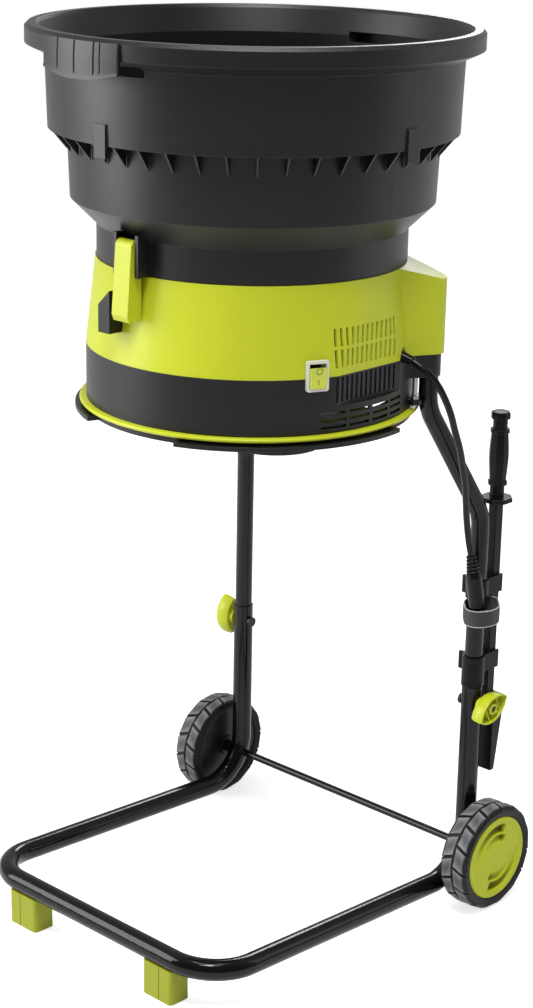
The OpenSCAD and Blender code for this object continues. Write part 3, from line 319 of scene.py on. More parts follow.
def grown(name, tree, values, start):
    """The plain mesh that a Geometry Nodes tree makes of a line or mesh, as an object at the origin."""
    holder = bpy.data.objects.new(name + "_seed", start)
    bpy.context.scene.collection.objects.link(holder)
    maker = holder.modifiers.new("maker", "NODES")
    maker.node_group = tree
    for item in tree.interface.items_tree:
        if item.item_type == "SOCKET" and item.in_out == "INPUT" and item.name in values:
            maker[item.identifier] = values[item.name]
    mesh = bpy.data.meshes.new_from_object(holder.evaluated_get(bpy.context.evaluated_depsgraph_get()))
    bpy.data.objects.remove(holder)
    piece = bpy.data.objects.new(name, mesh)
    mesh.name = name
    bpy.context.scene.collection.objects.link(piece)
    return piece


def rule(name, inputs):
    """An empty Geometry Nodes tree with its named inputs, and the sockets that carry them."""
    tree = bpy.data.node_groups.new(name, "GeometryNodeTree")
    kinds = {"f": "NodeSocketFloat", "i": "NodeSocketInt", "m": "NodeSocketMaterial",
             "g": "NodeSocketGeometry"}
    for label, kind in inputs.items():
        tree.interface.new_socket(label, in_out="INPUT", socket_type=kinds[kind])
    tree.interface.new_socket("Geometry", in_out="OUTPUT", socket_type="NodeSocketGeometry")
    lay = Tree(tree)
    gate = tree.nodes.new("NodeGroupInput")
    return lay, {label: Value(tree, gate.outputs[label]) for label in inputs}


def tube_rule():
    lay, given = rule("bent_tube", {"Line": "g", "Tube radius": "f", "Bend radius": "f", "Finish": "m"})
    line = lay.node("GeometryNodeFilletCurve", {"mode": "POLY"}, {
        "Curve": given["Line"], "Radius": given["Bend radius"], "Count": 22, "Limit Radius": True})
    ring = lay.node("GeometryNodeCurvePrimitiveCircle", {"mode": "RADIUS"}, {
        "Resolution": 48, "Radius": given["Tube radius"]})
    tube = lay.node("GeometryNodeCurveToMesh", sockets={
        "Curve": line, "Profile Curve": ring, "Fill Caps": True})
    tube = lay.node("GeometryNodeSetShadeSmooth", sockets={"Geometry": tube, "Shade Smooth": True})
    tube = lay.node("GeometryNodeRealizeInstances", sockets={"Geometry": tube})
    tube = lay.node("GeometryNodeSetMaterial", sockets={"Geometry": tube, "Material": given["Finish"]})
    lay.node("NodeGroupOutput", sockets={"Geometry": tube})
    return lay.tree


def bent_tube(name, corners, radius, node):
    line = bpy.data.curves.new(name + "_line", "CURVE")
    line.dimensions = "3D"
    run = line.splines.new("POLY")
    run.points.add(len(corners) - 1)
    for point, corner in zip(run.points, corners):
        point.co = (*[v / 1000 for v in corner], 1)
    tube = grown(name, tube_maker, {
        "Tube radius": radius / 1000, "Bend radius": bend_r / 1000, "Finish": enamel}, line)
    settle(tube, "stand", "tube_paint", node)


enamel = gloss_enamel()
tube_maker = tube_rule()
hands = ((-1, "left"), (1, "right"))
cart_r, carrier_r, bend_r = 12.5, 11.0, 60
upright_x, upright_y, upright_top, heel_z = 194, 196, 277, 28.5
bar_y, bar_z = -246, 51
carrier_foot, carrier_bend = 217, 496
head_x, head_y, head_low, head_top = 176, 110, 638, 744
half_cart = [(upright_x, upright_y, upright_top), (upright_x, upright_y, heel_z), (upright_x, bar_y, bar_z)]
bent_tube("cart_tube", half_cart + [(-x, y, z) for x, y, z in half_cart[::-1]], cart_r, "lower_frame_tube")
for side, hand in hands:
    bent_tube("carrier_tube_" + hand, [
        (side * upright_x, upright_y, carrier_foot), (side * upright_x, upright_y, carrier_bend),
        (side * head_x, head_y, head_low), (side * head_x, head_y, head_top)],
        carrier_r, "upper_tube_" + hand)


# Feet. Two blocks moulded in lime green plastic with a fine spark texture, each held under the front bar by
# one screw. Their green is a darker copy of the lime, as painted shade. Corners that get knocked are a
# shade paler.
def moulding(name, colour, pale, sheen, gloss=0.4, grain=0.00005):
    skin = Finish(name)
    rounded = skin.rounded(0.0009)
    edge = skin.worn(rounded)
    cloud = skin.noise(9.0, 4.0)
    spark = skin.noise(2600.0, 2.0)
    scuff = skin.ramp(skin.noise(70.0, 6.0, 0.7), 0.62, 0.8)
    deep = [v * 0.9 for v in colour[:3]] + [1.0]
    tone = skin.tint(cloud, deep, colour)
    tone = skin.tint(edge * 0.35 + scuff * 0.05, tone, pale)
    return skin.surface(
        Base_Color=tone, Roughness=sheen + 0.08 * cloud + 0.1 * scuff, Specular_IOR_Level=gloss,
        Normal=skin.bump(spark, grain, rounded))


def bright_zinc():
    plate = Finish("bright_zinc")
    bloom = plate.noise(160.0, 4.0)
    colour = plate.tint(bloom, linear(176, 178, 182), linear(204, 205, 206))
    return plate.surface(Base_Color=colour, Metallic=1.0, Roughness=0.24 + 0.2 * bloom,
                         Normal=plate.bump(bloom, 0.00003, plate.rounded(0.0003)))


lime = moulding("lime_moulding", linear(192, 201, 36), linear(214, 222, 92), 0.34)
zinc = bright_zinc()
# Painted shade: the feet get a darker copy of the lime moulding.
shaded_foot_green = moulding("foot_moulding", linear(156, 163, 34), linear(196, 203, 96), 0.4, 0.3)
dress(shaded_foot_green, "foot_left", "foot_right")
dress(zinc, "foot_screws")


# Axle. A 9.5 mm steel rod in the same black enamel, through the rear bends, with moulded spacers inside the
# wheels and bright push-on caps at its ends.
black = moulding("black_moulding", linear(14, 14, 15), linear(80, 80, 81), 0.34, 0.4)
dress(enamel, "axle_rod")
dress(black, "axle_spacers")
dress(zinc, "axle_caps")


# Tyres. Solid black rubber rings with two staggered rows of lugs, pressed on the wheel cores. The sidewalls
# are smooth, and the tread is dusty and dull.
wheel_x, wheel_y, wheel_z, tyre_wide, tyre_turns = 211.3, 190.4829, 66.5, 40, 144
lug_count, lug_root, lug_half, lug_taper, lug_middle, lug_skew = 15, 60.5, 12.0, 0.1, 30, 0.006


def tread_rubber():
    tread = Finish("tread_rubber")
    rounded = tread.rounded(0.0014)
    edge = tread.worn(rounded)
    dust = tread.noise(38.0, 5.0, 0.6)
    speck = tread.noise(900.0, 2.0)
    back, up = tread.axis("Y") - wheel_y / 1000, tread.axis("Z") - wheel_z / 1000
    crown = tread.ramp((back * back + up * up) ** 0.5, 0.0645, 0.0662)
    colour = tread.tint(dust, linear(15, 15, 16), linear(24, 24, 25))
    colour = tread.tint(crown * (0.45 + dust * 0.7), colour, linear(140, 141, 144))
    colour = tread.tint(edge * 0.35, colour, linear(104, 103, 103))
    return tread.surface(Base_Color=colour, Roughness=0.42 + 0.2 * dust, Specular_IOR_Level=0.25,
                         Normal=tread.bump(speck, 0.00012, rounded))


def lug_rule():
    lay, given = rule("lug_rows", {"Lugs": "g", "Count": "i", "Finish": "m"})
    spots = lay.node("GeometryNodeMeshCircle", sockets={"Vertices": given["Count"], "Radius": 0.0})
    step = lay.node("GeometryNodeInputIndex") * (2 * math.pi) / given["Count"]
    turn = lay.node("ShaderNodeCombineXYZ", sockets={"X": step})
    turn = lay.node("FunctionNodeEulerToRotation", sockets={"Euler": turn})
    rows = lay.node("GeometryNodeInstanceOnPoints", sockets={
        "Points": spots, "Instance": given["Lugs"], "Rotation": turn})
    rows = lay.node("GeometryNodeRealizeInstances", sockets={"Geometry": rows})
    rows = lay.node("GeometryNodeSetMaterial", sockets={"Geometry": rows, "Material": given["Finish"]})
    lay.node("NodeGroupOutput", sockets={"Geometry": rows})
    return lay.tree


def lug_pair(side):
    """One lug of each row, as a mesh about the wheel's axis."""
    section = [(lug_root, 20.6), (66.0, 21.4), (66.4, 23), (66.4, 34), (64.9, 37.2), (62.2, 39.6),
               (lug_root, 39.8)]
    points, faces = [], []
    for row in (0, 1):
        for edge in (-1, 1):
            for reach, place in section:
                half = lug_half - (reach - lug_root) * lug_taper
                turn = math.pi * row / lug_count + edge * half / reach + (place - lug_middle) * lug_skew
                along = place if row == 0 else tyre_wide - place
                points.append((side * (wheel_x + along), reach * math.cos(turn), reach * math.sin(turn)))
        start, n = row * 2 * len(section), len(section)
        faces.append([start + k for k in range(n)])
        faces.append([start + n + k for k in range(n)][::-1])
        for k in range(n):
            after = (k + 1) % n
            faces.append([start + k, start + n + k, start + n + after, start + after])
    return points, faces


def hoop_faces(turns, n):
    """Faces of a closed hoop, from sections of n points that follow one another."""
    return [[k * n + i, k * n + (i + 1) % n, (k + 1) % turns * n + (i + 1) % n, (k + 1) % turns * n + i]
            for k in range(turns) for i in range(n)]


rubber = tread_rubber()
lug_maker = lug_rule()
tyre_section = [(52.5, 3), (52.8, 2.4), (55, 1.5), (58, 0.8), (60, 0.7), (61.3, 1.4), (62.6, 3.4), (64, 7),
                (64, 33), (62.6, 36.6), (61.3, 38.6), (60, 39.3), (58, 39.2), (55, 38.5), (52.8, 37.6),
                (52.5, 37)]
for side, hand in hands:
    points = []
    for k in range(tyre_turns):
        turn = 2 * math.pi * k / tyre_turns
        points += [(side * (wheel_x + along), wheel_y + reach * math.cos(turn),
                    wheel_z + reach * math.sin(turn)) for reach, along in tyre_section]
    body = shaped("tyre_body_" + hand, points, hoop_faces(tyre_turns, len(tyre_section)), rubber)
    settle(body, "wheel_" + hand, "tyre_rubber", "tyre_" + hand)
    pair = shaped("lug_pair_" + hand, *lug_pair(side), rubber, 50)
    lugs = grown("tyre_lugs_" + hand, lug_maker, {"Count": lug_count, "Finish": rubber}, pair.data)
    bpy.data.objects.remove(pair)
    lugs.data.transform(Matrix.Translation((0, wheel_y / 1000, wheel_z / 1000)))
    settle(lugs, "wheel_" + hand, "tyre_rubber")


# Wheel cores and hub caps. The core is a ribbed black moulding on the axle. The green cap snaps into its
# outer rim; two pairs of crescent dips, turned half round from each other, run out of its face, and their
# deep ends are darkened with painted shade.
cap_r, cap_out, cap_lift, cap_drop = 52.1, 38.3, 0.7, 1.3
# Each dip's first angle, sweep and depth, then its inner edge, that edge's slope and its outer edge as
# shares of the cap's radius.
cap_dips = ((68, 118, 7.4, 0.60, 0.05, 0.80), (56, 98, 6.2, 0.34, 0.16, 0.55))


def cap_moulding():
    skin = Finish("cap_moulding")
    rounded = skin.rounded(0.0009)
    edge = skin.worn(rounded)
    cloud = skin.noise(9.0, 4.0)
    out = skin.axis("X")
    sunk = (wheel_x + cap_out) / 1000 - (out * out) ** 0.5
    # Painted shade: the colour darkens towards olive-black the deeper a point lies in a dip.
    painted_dip_shade = skin.ramp(sunk, 0.0022, 0.0064) * (0.75 + 0.25 * skin.noise(160.0))
    tone = skin.tint(cloud, linear(172, 181, 32), linear(192, 201, 36))
    tone = skin.tint(edge * 0.4, tone, linear(222, 229, 120))
    tone = skin.tint(painted_dip_shade * 0.9, tone, linear(34, 37, 10))
    return skin.surface(Base_Color=tone, Roughness=0.34 + 0.1 * cloud + 0.2 * painted_dip_shade, Specular_IOR_Level=0.2,
                        Normal=skin.bump(skin.noise(2600.0, 2.0), 0.00005, rounded))


def hub_face(share, turn):
    """How far the cap's face lies out along the axle, at a share of its radius."""
    def eased(value):
        value = min(1.0, max(0.0, value))
        return value * value * (3 - 2 * value)
    lift_from, lift_run, edge_from, edge_run, start_run, wall_run = 0.85, 0.05, 0.96, 0.04, 3, 0.028
    out = cap_out + cap_lift * eased((share - lift_from) / lift_run)
    out -= cap_drop * max(0.0, (share - edge_from) / edge_run) ** 2
    for start, sweep, deep, near, slope, far in cap_dips:
        past = (turn - start) % 180
        if past < sweep:
            floor = deep * (1 - past / sweep) ** 0.85 * eased(past / start_run)
            out -= floor * eased((share - near) / slope) * (1 - eased((share - far) / wall_run))
    return out


def hub_cap(side, hand):
    rings, turns = 72, 240
    points = [(side * (wheel_x + hub_face(0, 0)), wheel_y, wheel_z)]
    skirt = [(1.0, 33.6), (0.93, 33.6), (0.915, 30.2)]
    for share, out in [(i / rings, None) for i in range(1, rings + 1)] + skirt:
        for k in range(turns):
            turn = 2 * math.pi * k / turns
            deep = hub_face(share, math.degrees(turn)) if out is None else out
            points.append((side * (wheel_x + deep), wheel_y + cap_r * share * math.cos(turn),
                           wheel_z + cap_r * share * math.sin(turn)))
    faces = [[0, 1 + k, 1 + (k + 1) % turns] for k in range(turns)]
    faces += ring_faces(rings + len(skirt), turns, 1)
    faces.append(list(range(len(points) - turns, len(points))))
    cap = shaped("hub_cap_face_" + hand, points, faces, cap_finish)
    settle(cap, "wheel_" + hand, "green_plastic", "hub_cap_" + hand)


cap_finish = cap_moulding()
dress(black, "wheel_core_left", "wheel_core_right")
for side, hand in hands:
    hub_cap(side, hand)


# Clamp knobs. Lens-shaped green mouldings, hollow outwards, with a boss and two ribs inside the rim. They sit
# on blackened bolts and pinch the upper tubes in the uprights.
def black_zinc():
    plate = Finish("black_zinc")
    rounded = plate.rounded(0.0003)
    edge = plate.worn(rounded)
    bloom = plate.noise(160.0, 4.0)
    colour = plate.tint(bloom, linear(34, 34, 36), linear(52, 52, 54))
    colour = plate.tint(edge * 0.5, colour, linear(120, 119, 118))
    return plate.surface(Base_Color=colour, Metallic=0.7, Roughness=0.34 + 0.2 * bloom,
                         Normal=plate.bump(bloom, 0.00003, rounded))


def clamp_knob(side, hand, tilt):
    knob_x, knob_z, turns, points = 206.9, 255, 96, []
    rib_starts, rib_t, rib_half, rib_floor, rib_top = (-11.2, 9.8), 1.4, 10.4, 12.5, 20
    lean = math.radians(tilt)

    def spot(along, over, out):
        return (side * (knob_x + out), upright_y + along * math.cos(lean) - over * math.sin(lean),
                knob_z + along * math.sin(lean) + over * math.cos(lean))

    def lens_reach(half, wide, turn):
        arc = (half * half + wide * wide) / (2 * wide)
        off = arc - wide
        rise = abs(math.sin(turn))
        return math.sqrt(off * off * rise * rise + arc * arc - off * off) - off * rise

    # Half length, half width and distance out of each ring, from the tube over the rim into the hollow.
    rings = [(9, 9, 0), (9, 9, 5), (23.5, 12.5, 5), (26, 14.6, 9), (27, 15.5, 15), (27, 15.5, 21.5),
             (26.5, 15, 22.6), (25.6, 14.2, 23), (24.6, 13.4, 22.6), (24.2, 13, 21), (22.6, 11.8, 13),
             (7.4, 7.4, 13), (7, 7, 21.4), (6.4, 6.4, 22), (4.6, 4.6, 22), (4.4, 4.4, 15)]
    for half, wide, out in rings:
        for k in range(turns):
            turn = 2 * math.pi * k / turns
            far = half if half == wide else lens_reach(half, wide, turn)
            points.append(spot(far * math.cos(turn), far * math.sin(turn), out))
    faces = ring_faces(len(rings), turns)
    faces += [list(range(turns)), list(range(len(points) - turns, len(points)))]
    for near in rib_starts:
        start = len(points)
        points += [spot(near + rib_t * a, rib_half * b, out)
                   for out in (rib_floor, rib_top) for b in (-1, 1) for a in (0, 1)]
        faces += [[start + v for v in face] for face in (
            (0, 1, 3, 2), (4, 5, 7, 6), (0, 1, 5, 4), (2, 3, 7, 6), (0, 2, 6, 4), (1, 3, 7, 5))]
    knob = shaped("clamp_knob_" + hand, points, faces, lime)
    settle(knob, "knob_" + hand + "_body", "green_plastic", "knob_" + hand)


dark_zinc = black_zinc()
clamp_knob(-1, "left", 90)
clamp_knob(1, "right", 25)
dress(dark_zinc, "clamp_bolts")


# Clips and clearing tool. The tool is a square black rod with a wedge tip and an eight-sided grip behind a
# guard; two moulded clips hold it along the right upright.
tool_black = moulding("tool_moulding", linear(10, 10, 11), linear(70, 70, 71), 0.36, 0.16)
tool_y, guard_z, guard_r, guard_t, grip_r, grip_long = 225, 506.0, 18, 5, 12.0, 105


def tool_grip():
    guard = [(0.3, 0.0), (1.0, 0.0), (1.0, 4.2), (0.96, 5.0), (0.45, 5.0)]
    swell = [(0.72, 0.0), (0.72, 0.14), (0.98, 0.145), (0.98, 0.19), (0.84, 0.195), (0.88, 0.26),
             (0.94, 0.34), (0.99, 0.43), (1.0, 0.5), (0.98, 0.58), (0.93, 0.66), (0.86, 0.75), (0.98, 0.755),
             (0.98, 0.8), (0.72, 0.805), (0.72, 0.915), (0.98, 0.92), (0.98, 0.975), (0.92, 0.995),
             (0.8, 1.0), (0.0, 1.0)]
    rings = [(guard_r * share, guard_z + up) for share, up in guard]
    rings += [(grip_r * share, guard_z + guard_t + grip_long * up) for share, up in swell]
    turns, eighth, round_below, points = 64, math.pi / 8, 8.7, []
    for far, up in rings:
        for k in range(turns):
            turn = 2 * math.pi * k / turns
            flat = math.cos((turn + eighth) % (2 * eighth) - eighth)
            wide = far
            if far > round_below:
                wide = far * (1.0 if far > grip_r + 0.5 else math.cos(eighth)) / flat
            points.append((upright_x + wide * math.cos(turn), tool_y + wide * math.sin(turn), up))
    faces = ring_faces(len(rings), turns) + [list(range(turns))]
    settle(shaped("tool_handle", points, faces, tool_black, 30), "clearing_tool", "tool_plastic", "tool_grip")


def tool_wedge():
    """The tip: a neck on the rod, then a wide wedge with an upright front face."""
    # Half width, front, back and height of each level, from the rod down.
    levels = [(6.2, 218.8, 231.2, 262.4), (6.2, 218.8, 231.2, 257), (14.2, 220.8, 240.2, 257),
              (15.5, 220, 241.6, 255.4), (15.5, 220, 226.8, 161), (14.6, 220.8, 226, 159.8)]
    points = []
    for half, front, back, up in levels:
        points += [(upright_x - half, front, up), (upright_x + half, front, up),
                   (upright_x + half, back, up), (upright_x - half, back, up)]
    faces = [[0, 1, 2, 3], list(range(len(points) - 4, len(points)))] + ring_faces(len(levels), 4)
    settle(shaped("tool_wedge", points, faces, tool_black, 20), "clearing_tool", "tool_plastic", "tool_tip")


tool_grip()
tool_wedge()
dress(tool_black, "clip_lower", "clip_upper", "tool_shaft")


# Base ring, bag collar and their screws. The green ring ends in a thin bead and closes the drum below, on a
# black seal. The black collar under it has three lips that a bag's cord is pulled over.
def turned_ring(name, section, finish, slot, *nodes):
    """A ring about the drum's axis, from its section as (radius, height) pairs in millimetres."""
    turns = 180
    points = [(reach * math.cos(2 * math.pi * k / turns), reach * math.sin(2 * math.pi * k / turns), up)
              for k in range(turns) for reach, up in section]
    faces = hoop_faces(turns, len(section))
    settle(shaped(name, points, faces, finish), "stand", slot, *nodes)


ring_low, ring_high = [corner[2] * 1000 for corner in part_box("base_ring")]
ring_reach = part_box("base_ring")[1][0] * 1000
bead_r, bead_steps, flange_in, wall_r, seal_t = 2.4, 12, 172.0, 189.0, 4
bead_top = ring_low + 2 * bead_r
bead = [(ring_reach - bead_r + bead_r * math.sin(math.pi * k / bead_steps),
         ring_low + bead_r - bead_r * math.cos(math.pi * k / bead_steps)) for k in range(bead_steps + 1)]
turned_ring("base_bead", [(flange_in, ring_low), *bead, (flange_in, bead_top)],
            lime, "green_plastic", "base_ring")
turned_ring("base_seal", [(wall_r - seal_t, bead_top), (wall_r, bead_top), (wall_r, ring_high),
                          (wall_r - seal_t, ring_high)], black, "black_plastic")
dress(black, "bag_collar")
dress(zinc, "base_screws")


# Drum. A black lower housing with louvres and slots, and over it the green band with its two shoulders, into
# which the tube heads go; bright bolts and nuts hold them.
dress(black, "lower_housing")
dress(lime, "mid_housing")
dress(zinc, "frame_bolts", "frame_nuts")


# Motor. A brush motor hung in a three-armed bridge under the drum, with a fan between its cover and cap.
# Steel laminations, varnished copper and brass brush holders; the housings are black mouldings.
def steel_laminations():
    stack = Finish("steel_laminations")
    sheets = stack.wave(stack.axis("Z") * (2 * math.pi / 0.0007))
    rust = stack.noise(90.0, 5.0, 0.6)
    colour = stack.tint(rust, linear(98, 99, 101), linear(128, 127, 125))
    return stack.surface(Base_Color=colour, Metallic=0.9, Roughness=0.34 + 0.2 * rust,
                         Normal=stack.bump(sheets, 0.00008, stack.rounded(0.0003)))


def copper_winding():
    coil = Finish("copper_winding")
    wires = coil.wave(coil.axis("Z") * (2 * math.pi / 0.0009))
    varnish = coil.noise(120.0, 4.0)
    colour = coil.tint(varnish, linear(122, 62, 34), linear(158, 86, 48))
    return coil.surface(Base_Color=colour, Metallic=0.8, Roughness=0.28 + 0.16 * varnish,
                        Normal=coil.bump(wires, 0.0001, coil.rounded(0.0004)))


dress(black, "motor_bridge", "motor_cover", "motor_cap", "cooling_fan")
dress(steel_laminations(), "stator")
dress(copper_winding(), "armature")
dress(brass, "brush_holders")
dress(zinc, "motor_shaft", "shaft_bearings")


# Cutter. A black moulded line head on the motor shaft. Four nylon lines stick out of its side, and a bright
# nut on top holds it.
def nylon_line():
    strand = Finish("nylon_line")
    haze = strand.noise(220.0, 3.0)
    return strand.surface(Base_Color=strand.tint(haze, linear(206, 92, 36), linear(226, 118, 58)),
                          Roughness=0.3 + 0.15 * haze, Normal=strand.bump(strand.noise(1400.0), 0.00004))


dress(black, "line_head")
dress(nylon_line(), "cutting_lines")
dress(zinc, "head_nut")


# Switch. An off-white frame, snapped into the band, with a green rocker that tips in it. The rocker's face
# carries the usual ring and bar for off and on.
def rocker_moulding():
    skin = Finish("rocker_moulding")
    rounded = skin.rounded(0.0006)
    edge = skin.worn(rounded)
    cloud = skin.noise(60.0, 4.0)
    switch_turn, switch_z, mark_off, mark_r = math.radians(-24), 0.7075, 0.0062, 0.0034
    aside = skin.axis("X") * -math.sin(switch_turn) + skin.axis("Y") * math.cos(switch_turn)
    ring_up = skin.axis("Z") - (switch_z + mark_off)
    bar_up = skin.axis("Z") - (switch_z - mark_off)
    out = (aside * aside + ring_up * ring_up) ** 0.5 - mark_r
    ring = 1.0 - skin.ramp(out * out, 2.0e-7, 5.0e-7)
    bar = 1.0 - skin.ramp(aside * aside, 2.0e-7, 5.0e-7)
    bar = bar * (1.0 - skin.ramp(bar_up * bar_up, 8.0e-6, 1.0e-5))
    tone = skin.tint(cloud, linear(196, 208, 60), linear(210, 220, 78))
    tone = skin.tint(edge * 0.3, tone, linear(228, 234, 130))
    tone = skin.tint((ring + bar) * 0.85, tone, linear(92, 98, 26))
    return skin.surface(Base_Color=tone, Roughness=0.3 + 0.1 * cloud, Specular_IOR_Level=0.45,
                        Normal=skin.bump(ring + bar, 0.0002, rounded))


ivory = moulding("ivory_moulding", linear(222, 222, 214), linear(240, 240, 236), 0.36)
dress(ivory, "switch_frame")
dress(rocker_moulding(), "switch_rocker")
dress(black, "switch_body")


# Strap. A woven hook-and-loop band, 21 mm wide, wrapped round the right upper tube and the plug and closed on
# itself.
def webbing():
    weave = Finish("grey_webbing")
    cloth = weave.node("ShaderNodeTexCoord", out="UV")
    along, over = weave.axis("X", cloth), weave.axis("Y", cloth)
    warp_pitch, weft_pitch, half_wide = 0.0021, 0.0017, 0.0105
    warp = weave.wave(along * (2 * math.pi / warp_pitch))
    weft = weave.wave(over * (2 * math.pi / weft_pitch))
    grain = warp * weft
    fuzz = weave.noise(1300.0, 3.0)
    off_middle = over - half_wide
    hem = weave.ramp(off_middle * off_middle, 8.2e-5, 9.4e-5)
    tone = weave.tint(weave.ramp(grain, -0.8, 0.9), linear(40, 40, 39), linear(60, 60, 58))
    tone = weave.tint(fuzz * 0.3, tone, linear(84, 84, 82))
    tone = weave.tint(hem * 0.9, tone, linear(206, 206, 204))
    return weave.surface(Base_Color=tone, Roughness=0.78 + 0.14 * fuzz, Specular_IOR_Level=0.2,
                         Sheen_Weight=0.25, Normal=weave.bump(grain + fuzz * 0.6, 0.0003))


def strap_band():
    turns, rows, base, wide = 96, 8, 369.7, 20.6
    near, run, turn = Vector((202.3, 194.2)), 15.0, math.radians(-46)
    loop_r, inner, outer, crowning, lap_t = 20.6, 19.75, 20.75, 0.35, 0.1
    tilt, tilt_run, tilt_way = 5.0, 42, Vector((0.692, 0.654))
    ahead = Vector((math.cos(turn), math.sin(turn)))
    aside = Vector((-ahead.y, ahead.x))

    def spot(share, reach):
        swing = 2 * math.pi * share
        bent = Vector((math.cos(swing), math.sin(swing))) * reach
        shift = run if math.cos(swing) > 0 else 0.0
        return near + ahead * (bent.x + shift) + aside * bent.y

    points, faces, marks = [], [], []
    mesh = bpy.data.meshes.new("cord_strap_band")
    girth = 2 * math.pi * loop_r + 2 * run
    for k in range(turns):
        share = (k + 0.5) / turns
        lap = lap_t if 0.55 < share < 0.8 else 0.0
        sag = tilt * (0.5 - (spot(share, 20) - near - ahead * run / 2).dot(tilt_way) / tilt_run)
        for i in range(rows + 1):
            crown = crowning * (1 - (2 * i / rows - 1) ** 2)
            up = base + wide * i / rows
            for reach in (inner + crown * 0.2, outer + crown + lap):
                flat = spot(share, reach)
                points.append((flat.x / 1000, flat.y / 1000, (up - sag) / 1000))
                marks.append((share * girth / 1000, (up - base) / 1000))
    per = 2 * (rows + 1)
    for k in range(turns):
        here, after = k * per, (k + 1) % turns * per
        for i in range(rows):
            for wall in (0, 1):
                low, high = 2 * i + wall, 2 * i + 2 + wall
                faces.append([here + low, after + low, after + high, here + high])
        for i in (0, rows):
            faces.append([here + 2 * i, after + 2 * i, after + 2 * i + 1, here + 2 * i + 1])
    mesh.from_pydata(points, [], faces)
    layer = mesh.uv_layers.new(name="cloth")
    for face in mesh.polygons:
        for corner in face.loop_indices:
            place = mesh.loops[corner].vertex_index
            mark = marks[place]
            if face.vertices[0] // per == turns - 1 and place // per == 0:
                mark = (mark[0] + girth / 1000, mark[1])
            layer.data[corner].uv = mark
    shell = bmesh.new()
    shell.from_mesh(mesh)
    bmesh.ops.recalc_face_normals(shell, faces=shell.faces)
    shell.to_mesh(mesh)
    shell.free()
    mesh.shade_smooth()
    mesh.set_sharp_from_angle(angle=math.radians(50))
    mesh.materials.append(webbing())
    band = bpy.data.objects.new("cord_strap_band", mesh)
    bpy.context.scene.collection.objects.link(band)
    settle(band, "stand", "strap_fabric", "cord_strap")


strap_band()


# Hopper. A funnel with a neck and a shoulder, and on it the bowl with its fins and rim, in one dark grey
# plastic with a soft sheen; two small dark screws go in under the rim.
hopper_grey = moulding("hopper_moulding", linear(14, 14, 15), linear(84, 84, 85), 0.35, 0.46, 0.00006)
dress(hopper_grey, "funnel", "hopper_ring")
dress(dark_zinc, "hopper_screws")


# Grip plates. Two curved plates of the hopper's plastic, clipped on the rim in front of the hand slots, with
# upright grooves and a thin lip along the lower edge. The rear one's lower edge is level, and its ends turn
# in to the bowl's wall.
plate_low, plate_top, plate_back, plate_face = 1018, 1058, 254.15, 257.3
rim_under, bowl_wall, plate_grooves = 1039, 231, (0.25, 0.49, 0.73, 0.8)


def grip_plate(name, middle, half, rise, turned_in, node):
    columns, rows, level_half, degree_mm = 150, 22, 3.2, 4.4
    lip_h, lip_out, groove_half, groove_deep, groove_foot = 3.2, 1.1, 0.6, 1.0, 6
    points, faces = [], []
    for wall in (0, 1):
        for c in range(columns + 1):
            share = c / columns
            swing = (2 * share - 1) * half
            foot = plate_low + rise * max(0.0, (abs(swing) - level_half) / (half - level_half)) ** 1.4
            scored = any(abs(share - groove) * 2 * half * degree_mm < groove_half for groove in plate_grooves)
            for r in range(rows + 1):
                up = foot + (plate_top - foot) * r / rows
                if wall:
                    reach = plate_back
                    if up <= rim_under:
                        reach -= min(1.5, (rim_under - up) * 0.15)
                    if turned_in and up < rim_under - 1 and not 2 < c < columns - 2:
                        reach = bowl_wall
                else:
                    lip = max(0.0, 1 - (up - foot) / lip_h)
                    reach = plate_face + lip_out * lip - 1.3 * max(0.0, (up - rim_under - 1) / 18) ** 1.5
                    reach -= groove_deep if scored and up - foot > groove_foot else 0.0
                    reach -= 0.9 * max(0.0, abs(2 * share - 1) - 0.985) / 0.015
                turn = math.radians(middle + swing)
                points.append((reach * math.cos(turn), reach * math.sin(turn), up))
    side, row = (columns + 1) * (rows + 1), rows + 1
    for c in range(columns):
        for r in range(rows):
            for wall in (0, side):
                here = wall + c * row + r
                faces.append([here, here + row, here + row + 1, here + 1])
        for r in (0, rows):
            here = c * row + r
            faces.append([here, here + row, side + here + row, side + here])
    for c in (0, columns):
        for r in range(rows):
            here = c * row + r
            faces.append([here, here + 1, side + here + 1, side + here])
    settle(shaped(name, points, faces, hopper_grey, 40), "stand", "hopper_plastic", node)


grip_plate("grip_plate_front", -92.2, 13.6, 8, False, "handle_front")
grip_plate("grip_plate_rear", 90.0, 15.6, 0, True, "handle_rear")


# Latches. Two green moulded levers swing on dark pins in the funnel's bosses. They hook under black catches
# on the band and hold the hopper down on the drum.
dress(lime, "latch_front", "latch_rear")
dress(dark_zinc, "latch_pins")
dress(black, "latch_catches")


# Floor, air and lamps. A plain white sweep, a large softbox on the left, a weak one on the right, two strips
# crossed above, a high fill in front, and a small lamp behind that only gives the gleam along tubes and rim.
# Glossy surfaces see the white behind the machine, and less of it in front.
front_way, mirrored, floor_glow, air_level, air_gloss = (0.694, -0.72, 0.0), 0.6, 0.68, 0.4, 0.25
floor_mesh = bpy.data.meshes.new("studio_floor")
floor_mesh.from_pydata([(-40, -40, 0), (40, -40, 0), (40, 40, 0), (-40, 40, 0)], [], [(0, 1, 2, 3)])
studio_floor = bpy.data.objects.new("studio_floor", floor_mesh)
bpy.context.scene.collection.objects.link(studio_floor)
sweep = Finish("white_sweep")
seen = sweep.node("ShaderNodeLightPath", out="Is Camera Ray")
glossy = sweep.node("ShaderNodeLightPath", out="Is Glossy Ray")
through = sweep.node("ShaderNodeLightPath", out="Is Transmission Ray")
paper = sweep.node("ShaderNodeBsdfDiffuse", sockets={"Color": (0.8, 0.8, 0.8, 1)})
nearer = sweep.ramp(sweep.axis("X") * front_way[0] + sweep.axis("Y") * front_way[1], 0.3, 1.5)
glow = sweep.node("ShaderNodeEmission", sockets={
    "Color": (1, 1, 1, 1), "Strength": (seen + through + glossy * (1.0 - nearer) * mirrored) * floor_glow})
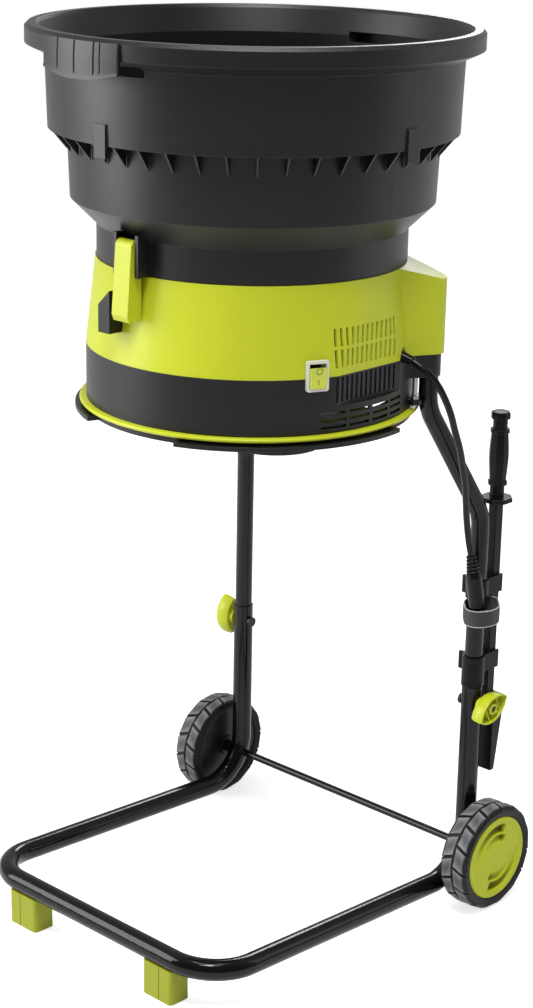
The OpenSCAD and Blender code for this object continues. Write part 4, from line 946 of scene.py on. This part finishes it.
both = sweep.node("ShaderNodeAddShader", sockets={0: paper, 1: glow})
sweep.node("ShaderNodeOutputMaterial", sockets={"Surface": both})
floor_mesh.materials.append(sweep.material)

studio = bpy.data.worlds.new("studio")
bpy.context.scene.world = studio
studio.use_nodes = True
air = Tree(studio.node_tree)
air.tree.nodes.clear()
seen = air.node("ShaderNodeLightPath", out="Is Camera Ray")
glossy = air.node("ShaderNodeLightPath", out="Is Glossy Ray")
through = air.node("ShaderNodeLightPath", out="Is Transmission Ray")
heading = air.node("ShaderNodeTexCoord", out="Generated")
front = air.node("ShaderNodeVectorMath", {"operation": "DOT_PRODUCT"}, {0: heading, 1: front_way},
                 out="Value")
front = air.node("ShaderNodeMapRange", {"clamp": True}, {0: front, 1: -0.1, 2: 0.5, 3: 0.0, 4: 1.0})
direct = seen + through + glossy * (1.0 - front) * mirrored
sky = air.node("ShaderNodeBackground", sockets={
    "Color": (1, 1, 1, 1), "Strength": air_level - glossy * air_gloss + direct * (1.0 - air_level)})
air.node("ShaderNodeOutputWorld", sockets={"Surface": sky})


def softbox(name, spot, target, width, tall, watts, gleam_only=False):
    lamp = bpy.data.lights.new(name, "AREA")
    lamp.shape = "RECTANGLE"
    lamp.size, lamp.size_y = width, tall
    lamp.energy = watts
    held = bpy.data.objects.new(name, lamp)
    held.location = spot
    held.visible_diffuse = held.visible_camera = not gleam_only
    held.rotation_euler = (Vector(target) - Vector(spot)).to_track_quat("-Z", "Y").to_euler()
    bpy.context.scene.collection.objects.link(held)


softbox("left_softbox", (-1.5, -1.65, 1.3), (0, 0, 0.85), 1.2, 1.7, 45)
softbox("right_softbox", (1.75, 1.5, 1.3), (0, 0, 0.85), 0.5, 1.7, 3)
softbox("strip_across", (0.6, -0.7, 3.3), (0.6, -0.7, 0), 2.4, 0.07, 20)
softbox("strip_along", (0.6, -0.7, 3.3), (0.6, -0.7, 0), 0.07, 2.4, 20)
softbox("back_gleam", (-1.2, 2.1, 1.95), (0, 0, 0.1), 0.7, 0.7, 18, True)
softbox("high_fill", (1.0, -1.15, 3.4), (0, 0, 0.6), 0.6, 0.6, 44)

bpy.context.scene.view_settings.view_transform = "Standard"
